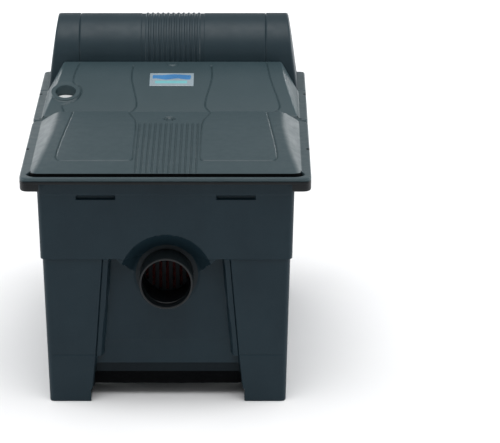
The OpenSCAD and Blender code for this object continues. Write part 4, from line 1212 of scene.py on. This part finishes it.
        # painted shade: the front panel's foot is black at the bottom and a darker copy of the tub's finish
        # above, where it curves under
        shop.paint(shell, Finish.SHADE, self._painted_shade_black)
        shop.paint(shell, Finish.TUB_PAINTED_SHADE, self._painted_shade_deep)
        shop.thicken(shell, self.wall)
        rim = shop.coat(self._rim(), Finish.RIM)
        rest = [*self._floor(), *self._legs(), *self._bosses(), *self._details()]
        shop.join(shell, [rim, *[shop.coat(part, Finish.TUB) for part in rest]])
        stands_for = [n for n in ("container", "tub_front", "tub_base") if n in self.nodes]
        shop.dress(shell, Finish.TUB, "tub_plastic", Body.TUB, *stands_for)
        for side in (-1, 1):
            self._grip(side)
        self._outlet()

    def _painted_shade_black(self, x: np.ndarray, y: np.ndarray, z: np.ndarray) -> np.ndarray:
        """Returns True for the faces of the front panel's foot that get the black painted shade where it
        curves under.
        """
        ax = np.abs(x)
        inward = self.leg_edge(z) - ax
        return (z < self.shade_black_top_z) & (inward > 2) & (y < 100)

    def _painted_shade_deep(self, x: np.ndarray, y: np.ndarray, z: np.ndarray) -> np.ndarray:
        """Returns True for the band of faces just above the black foot, which get the tub's darker copy as
        painted shade.
        """
        panel = self.leg_edge(z) - np.abs(x) > 2
        return (z >= self.shade_black_top_z) & (z < self.shade_deep_top_z) & panel & (y < 100)

    def _grip(self, side: int) -> None:
        """Makes the skirt under one side of the rim, with its stiffening ribs."""
        shop = self.shop
        r = 17.0
        arc = np.linspace(0, np.pi / 2, 12)
        x = [256.5, *(self.half - r + r * np.sin(arc)), *(self.half - r + r * np.cos(arc)), 256.5]
        y = [0.8, *(0.8 + r - r * np.cos(arc)),
             *(self.length - 0.8 - r + r * np.sin(arc)), self.length - 0.8]
        cx = np.clip(np.array(x), 0, self.half - r)
        cy = np.clip(np.array(y), 0.8 + r, self.length - 0.8 - r)
        nx, ny = np.array(x) - cx, np.array(y) - cy
        size = np.maximum(np.hypot(nx, ny), 1e-6)
        nx, ny = nx / size, ny / size
        profile = [(0.0, 486.0), (0.0, 474.5), (0.5, 472.2), (1.6, 470.5), (3.0, 470.0),
                   (4.4, 471.2), (4.6, 474.0), (4.6, 486.0), (0.0, 486.0)]
        rows = [shop.datum.place(side * (np.array(x) - nx * p), np.array(y) - ny * p,
                                 np.full(len(x), q)) for p, q in profile]
        skirt = shop.grid(f"grip_{side + 1}", np.stack(rows), flip=side < 0, sharp=0.6)
        ribs = []
        for i in range(1, 16):
            x0, x1 = sorted((side * 263.0, side * 291.0))
            low = 472.5 if i % 2 == 0 else 480.0
            ribs.append(shop.slab(f"grip_rib_{side + 1}_{i}", (x0, i * 49.25 - 1.3, low),
                                  (x1, i * 49.25 + 1.3, 486.0), 0.4))
        shop.join(skirt, ribs)
        node = "rim_grip_left" if side < 0 else "rim_grip_right"
        shop.dress(skirt, Finish.RIM, "rim_plastic", Body.TUB, node)

    def _outlet(self) -> None:
        """Makes the outlet pipe: eased lip, plain wall and a seat for its seal."""
        y0, y1, r, t = -5.0, 95.0, 55.0, 4.5
        profile = [(y1, r - t), (y1, r), (62.8, r), (62.8, 63.0), (59.0, 63.0), (59.0, r),
                   (y0 + 1.6, r), (y0 + 0.5, r - 0.5), (y0, r - 1.5), (y0, r - t + 1.2),
                   (y0 + 0.6, r - t + 0.3), (y0 + 2.0, r - t), (18.0, r - t), (19.5, r - t - 1.2),
                   (23.0, r - t - 1.2), (24.5, r - t), (y1, r - t)]
        pipe = self.shop.lathe("outlet_pipe", "y", (0.0, self.outlet_z), profile[::-1], 128)
        self.shop.dress(pipe, Finish.PIPE, "pipe_plastic", Body.TUB, "outlet_spigot")

    def _spread(self, base: np.ndarray, reach: float) -> np.ndarray:
        """Returns x lines that stay put near the middle and follow the taper further out."""
        fixed = 186.0
        out = np.abs(base)
        moved = fixed + (out - fixed) * (reach - fixed) / (244.0 - fixed)
        return np.sign(base) * np.where(out > fixed, moved, out)

    def _kept(self, x: np.ndarray, y: np.ndarray, z: np.ndarray) -> np.ndarray:
        """Returns which cells of the shell exist: not the leg gaps nor the pipe openings."""
        cx = (x + np.roll(x, -1, axis=1))[:-1] / 2
        cy = (y + np.roll(y, -1, axis=1))[:-1] / 2
        cz = (z[:-1] + z[1:]) / 2
        below = cz < self.leg_gap
        gap = below & ((np.abs(cx) < self.leg_x - 0.5) | ((cy > self.leg_l + 37) & (cy < 655)))
        outlet = (np.hypot(cx, cz - self.outlet_z) < 53.2) & (cy < 200)
        rear = cy > 700
        drawer = rear & (np.abs(cx) < 141) & (cz > 396) & (cz < 464)
        drain = rear & (np.hypot(cx, cz - 85.5) < 35)
        hose = rear & (np.hypot(np.abs(cx) - 218, cz - 425) < 25)
        return ~(gap | outlet | drawer | drain | hose)

    def _floor(self) -> list[bpy.types.Object]:
        """Makes the tub's floor."""
        w = float(self.width(np.array(30.0))) - 5.0
        return [self.shop.slab("tub_floor", (-w, 104, 28.2), (w, 739, 33.0), 0.6)]

    def _legs(self) -> list[bpy.types.Object]:
        """Makes the inner faces and soles of the four legs."""
        out = []
        w0 = float(self.width(np.array(0.0)))
        for side in (-1, 1):
            for i, (ya, yb) in enumerate(((38.6, 137.0), (655.0, 736.5))):
                x0, x1 = sorted((side * self.leg_x, side * (w0 - 2.4)))
                out.append(self.shop.slab(f"tub_leg_{side + 1}_{i}", (x0, ya, 0.0), (x1, yb, 32.0), 2.0))
        return out

    def _rim(self) -> bpy.types.Object:
        """Makes the rim plate as one ring with eased edges."""
        profile = [(0.0, 1.2), (0.35, 0.35), (1.2, 0.0), (38.0, 0.0), (38.0, 6.0), (1.2, 6.0),
                   (0.35, 5.65), (0.0, 4.8), (0.0, 1.2)]
        rings = []
        for inset, down in profile:
            xs, ys = self._ring(inset)
            rings.append(self.shop.datum.place(xs, ys, np.full(xs.size, self.rim_top - down)))
        return self.shop.grid("tub_rim", np.stack(rings), closed=True, sharp=0.6)

    def _ring(self, inset: float) -> tuple[np.ndarray, np.ndarray]:
        """Returns a rounded rectangle inside the rim's edge by inset."""
        r = max(14.0 - inset, 3.0)
        front = inset if inset < 20 else 25.0
        x1, y0, y1 = self.half - inset, front, self.length - inset
        arc = np.linspace(0, np.pi / 2, 10)
        parts = []
        for cx, cy, start in ((x1 - r, y1 - r, 0), (-x1 + r, y1 - r, 1), (-x1 + r, y0 + r, 2),
                              (x1 - r, y0 + r, 3)):
            turn = arc + start * np.pi / 2
            parts.append(np.stack([cx + r * np.cos(turn), cy + r * np.sin(turn)]))
        ring = np.concatenate(parts, axis=1)
        return ring[0], ring[1]

    def _tube_y(self, name: str, x: float, z: float, outer: float, inner: float, y0: float,
                y1: float) -> bpy.types.Object:
        """Makes a short tube along y."""
        ease = 1.0
        profile = [(y0, inner), (y0, outer), (y1 - ease, outer), (y1, outer - ease), (y1, inner),
                   (y0, inner)]
        turn = np.linspace(0, 2 * np.pi, 65)[:-1]
        px = np.array([[x + p[1] * np.cos(t) for t in turn] for p in profile])
        pz = np.array([[z + p[1] * np.sin(t) for t in turn] for p in profile])
        py = np.array([[p[0]] * turn.size for p in profile])
        return self.shop.grid(name, self.shop.datum.place(px, py, pz), closed=True, flip=True)

    def _bosses(self) -> list[bpy.types.Object]:
        """Makes the bosses of the pipe fittings and the drawer's frame at the back."""
        shop = self.shop
        out = [self._tube_y(f"tub_hose_boss_{s + 1}", s * 218.0, 425.0, 34.8, 28.6, 743.4, 757.2)
               for s in (-1, 1)]
        out.append(self._tube_y("tub_drain_boss", 0.0, 85.5, 45.3, 38.2, 730.7, 744.4))
        out.append(self._tube_y("tub_gland_boss", 164.0, 469.0, 12.0, 6.6, 745.5, 756.4))
        y0, y1 = 745.0, 757.6
        for i, (low, high) in enumerate((((-148, y0, 464.3), (148, y1, 472)),
                                         ((-148, y0, 388), (148, y1, 395.8)),
                                         ((-148, y0, 388), (-141, y1, 472)),
                                         ((141, y0, 388), (148, y1, 472)))):
            out.append(shop.slab(f"tub_drawer_frame_{i}", low, high, 1.0))
        return out

    def _details(self) -> list[bpy.types.Object]:
        """Makes the ledges that carry the cross beams and the hinge knuckles."""
        shop = self.shop
        out = []
        for side in (-1, 1):
            for i, y in enumerate((404.0, 627.0)):
                x0, x1 = sorted((side * 244.2, side * 257.5))
                out.append(shop.slab(f"tub_ledge_{side + 1}_{i}", (x0, y - 14, 464.2), (x1, y + 14, 473.9)))
            x0, x1 = sorted((side * 153.0, side * 169.0))
            out.append(barrel(shop, f"tub_knuckle_{side + 1}", x0, x1, 794.0, 492.0, 5.0, 2.5))
            out.append(shop.slab(f"tub_web_{side + 1}", (x0, 786.0, 487.2), (x1, 792.5, 491.8), 0.5))
        return out


# --------------------------------------------------------------------------- carried-over parts


@dataclass
class CarriedParts:
    """The nodes that keep their own shape and get a finish and eased edges."""

    shop: Workshop
    edge: float = 0.7
    finishes: dict[Finish, tuple[str, ...]] = field(default_factory=lambda: {
        Finish.INNER: ("lid_beam_front", "lid_beam_rear", "chamber_divider", "cartridge_tray",
                       "drawer_housing", "outlet_strainer", "distributor_pipe"),
        Finish.FOAM_BLUE: ("foam_1", "foam_3", "foam_5"),
        Finish.FOAM_RED: ("foam_2", "foam_4", "foam_6"),
        Finish.CARRIER: tuple(f"carrier_{i}" for i in range(1, 7)),
        Finish.PIPE: ("outlet_locknut", "drain_valve_body", "drain_locknut",
                      "drain_spigot", "cable_gland"),
        Finish.RUBBER: ("outlet_gasket", "inlet_gasket_left", "inlet_gasket_right", "scraper_lip"),
        Finish.FITTING: ("inlet_body_left", "inlet_body_right", "inlet_nut_left",
                         "inlet_nut_right", "hose_tail_left", "hose_tail_right"),
        Finish.FRAME: ("screen_frame_left", "screen_frame_right", "scraper_bar"),
        Finish.SCREEN: ("screen_belt",),
        Finish.ROLLER: ("drive_roller", "idler_roller"),
        Finish.GEAR: ("roller_gear", "motor_pinion"),
        Finish.MOTOR: ("motor_housing",),
        Finish.LID: ("indicator_guide",),
        Finish.DRAWER: ("debris_drawer",),
        Finish.STEEL: ("drain_gate",),
        Finish.HANDLE: ("drain_handle",),
        Finish.PIN: ("hinge_pin_left", "hinge_pin_right"),
    })
    crisp: tuple[str, ...] = ("roller_gear", "motor_pinion", "screen_belt", "hinge_pin_left",
                              "hinge_pin_right", "outlet_strainer", "distributor_pipe")

    def build(self, nodes: dict[str, bpy.types.Object]) -> None:
        """Dresses every carried-over node.

        Args:
            nodes: The frame's nodes by name.
        """
        for finish, names in self.finishes.items():
            for name in names:
                piece = nodes[name]
                self._dress(piece, finish)
                if name not in self.crisp:
                    ease = piece.modifiers.new("edge", "BEVEL")
                    ease.width = self.edge * MM
                    ease.segments = 2
                    ease.limit_method = "ANGLE"
                    ease.angle_limit = 0.7
                LOG.info("dressed %s in %s", name, finish.value.name)

    def _dress(self, piece: bpy.types.Object, finish: Finish) -> None:
        """Assigns a finish to all material slots of a node."""
        material = self.shop.shelf.get(finish)
        if not piece.material_slots:
            piece.data.materials.append(material)
        for slot in piece.material_slots:
            slot.material = material


# --------------------------------------------------------------------------- studio


@dataclass
class Studio:
    """Pale floor, soft lights and the camera."""

    shop: Workshop
    lens: float = 208.2
    eye: tuple[float, float, float] = (0.171, -5.5412, 2.2942)
    pitch: float = 71.2

    def build(self) -> None:
        """Builds the floor, the lights and the camera."""
        floor = self.shop.grid("studio_floor", np.array(
            [[(-15, -15, 0), (-15, 25, 0)], [(15, -15, 0), (15, 25, 0)]], dtype=float), flip=True)
        floor.data.materials.append(self.shop.shelf.get(Finish.GROUND))
        self._sun(2.15, (-14.0, 0.0), 55.0)
        for side, name in ((-1, "left"), (1, "right")):
            self._light(f"{name}_panel", (side * 2.8, 0.3, 0.72), (0.0, 0.1, 0.5), (1.8, 0.7), 40.0)
            self._light(f"{name}_rear_panel", (side * 1.25, 3.2, 0.95), (0.0, 0.1, 0.5),
                        (1.5, 0.7), 11.0)
        world = bpy.data.worlds.new("studio_air")
        world.use_nodes = True
        world.node_tree.nodes["Background"].inputs["Color"].default_value = (0.97, 0.99, 1, 1)
        world.node_tree.nodes["Background"].inputs["Strength"].default_value = 0.42
        bpy.context.scene.world = world
        bpy.context.scene.view_settings.view_transform = "Standard"
        self._camera()

    def _sun(self, strength: float, tilt: tuple[float, float], spread: float) -> None:
        """Makes the broad overhead light, tilted by degrees about x and y."""
        data = bpy.data.lights.new("sky_light", "SUN")
        data.energy = strength
        data.angle = np.radians(spread)
        lamp = bpy.data.objects.new("sky_light", data)
        lamp.rotation_euler = (-np.radians(tilt[0]), np.radians(tilt[1]), 0)
        lamp.location = (0, 0, 4)
        bpy.context.scene.collection.objects.link(lamp)

    def _camera(self) -> None:
        """Makes the camera."""
        data = bpy.data.cameras.new("studio_camera")
        data.lens = self.lens
        data.sensor_width = 36.0
        data.sensor_fit = "HORIZONTAL"
        camera = bpy.data.objects.new("studio_camera", data)
        camera.location = (self.eye[0], self.eye[1] + self.shop.datum.front, self.eye[2])
        camera.rotation_euler = (np.radians(self.pitch), 0, 0)
        bpy.context.scene.collection.objects.link(camera)
        bpy.context.scene.camera = camera

    def _light(self, name: str, place: tuple[float, float, float],
               target: tuple[float, float, float], size: tuple[float, float],
               power: float) -> None:
        """Makes one soft panel that faces a target."""
        data = bpy.data.lights.new(name, "AREA")
        data.shape = "RECTANGLE"
        data.size, data.size_y = size
        data.energy = power
        lamp = bpy.data.objects.new(name, data)
        lamp.location = place
        aim = Vector(target) - Vector(place)
        lamp.rotation_euler = aim.to_track_quat("-Z", "Y").to_euler()
        bpy.context.scene.collection.objects.link(lamp)


def main() -> None:
    """Loads the frame and builds every piece around it."""
    logging.basicConfig(level=logging.INFO, format="%(message)s")
    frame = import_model()
    shop = Workshop(Datum(), FinishShelf())
    Studio(shop).build()
    CarriedParts(shop).build(frame["nodes"])
    tub = Tub(shop, nodes=tuple(frame["nodes"]))
    for assembly in (tub, FrontLid(shop), RearLid(shop), Hood(shop)):
        assembly.build()
    LOG.info("made %d pieces: %s", len(shop.made), ", ".join(shop.made))
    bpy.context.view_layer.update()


if __name__ == "__main__":
    main()
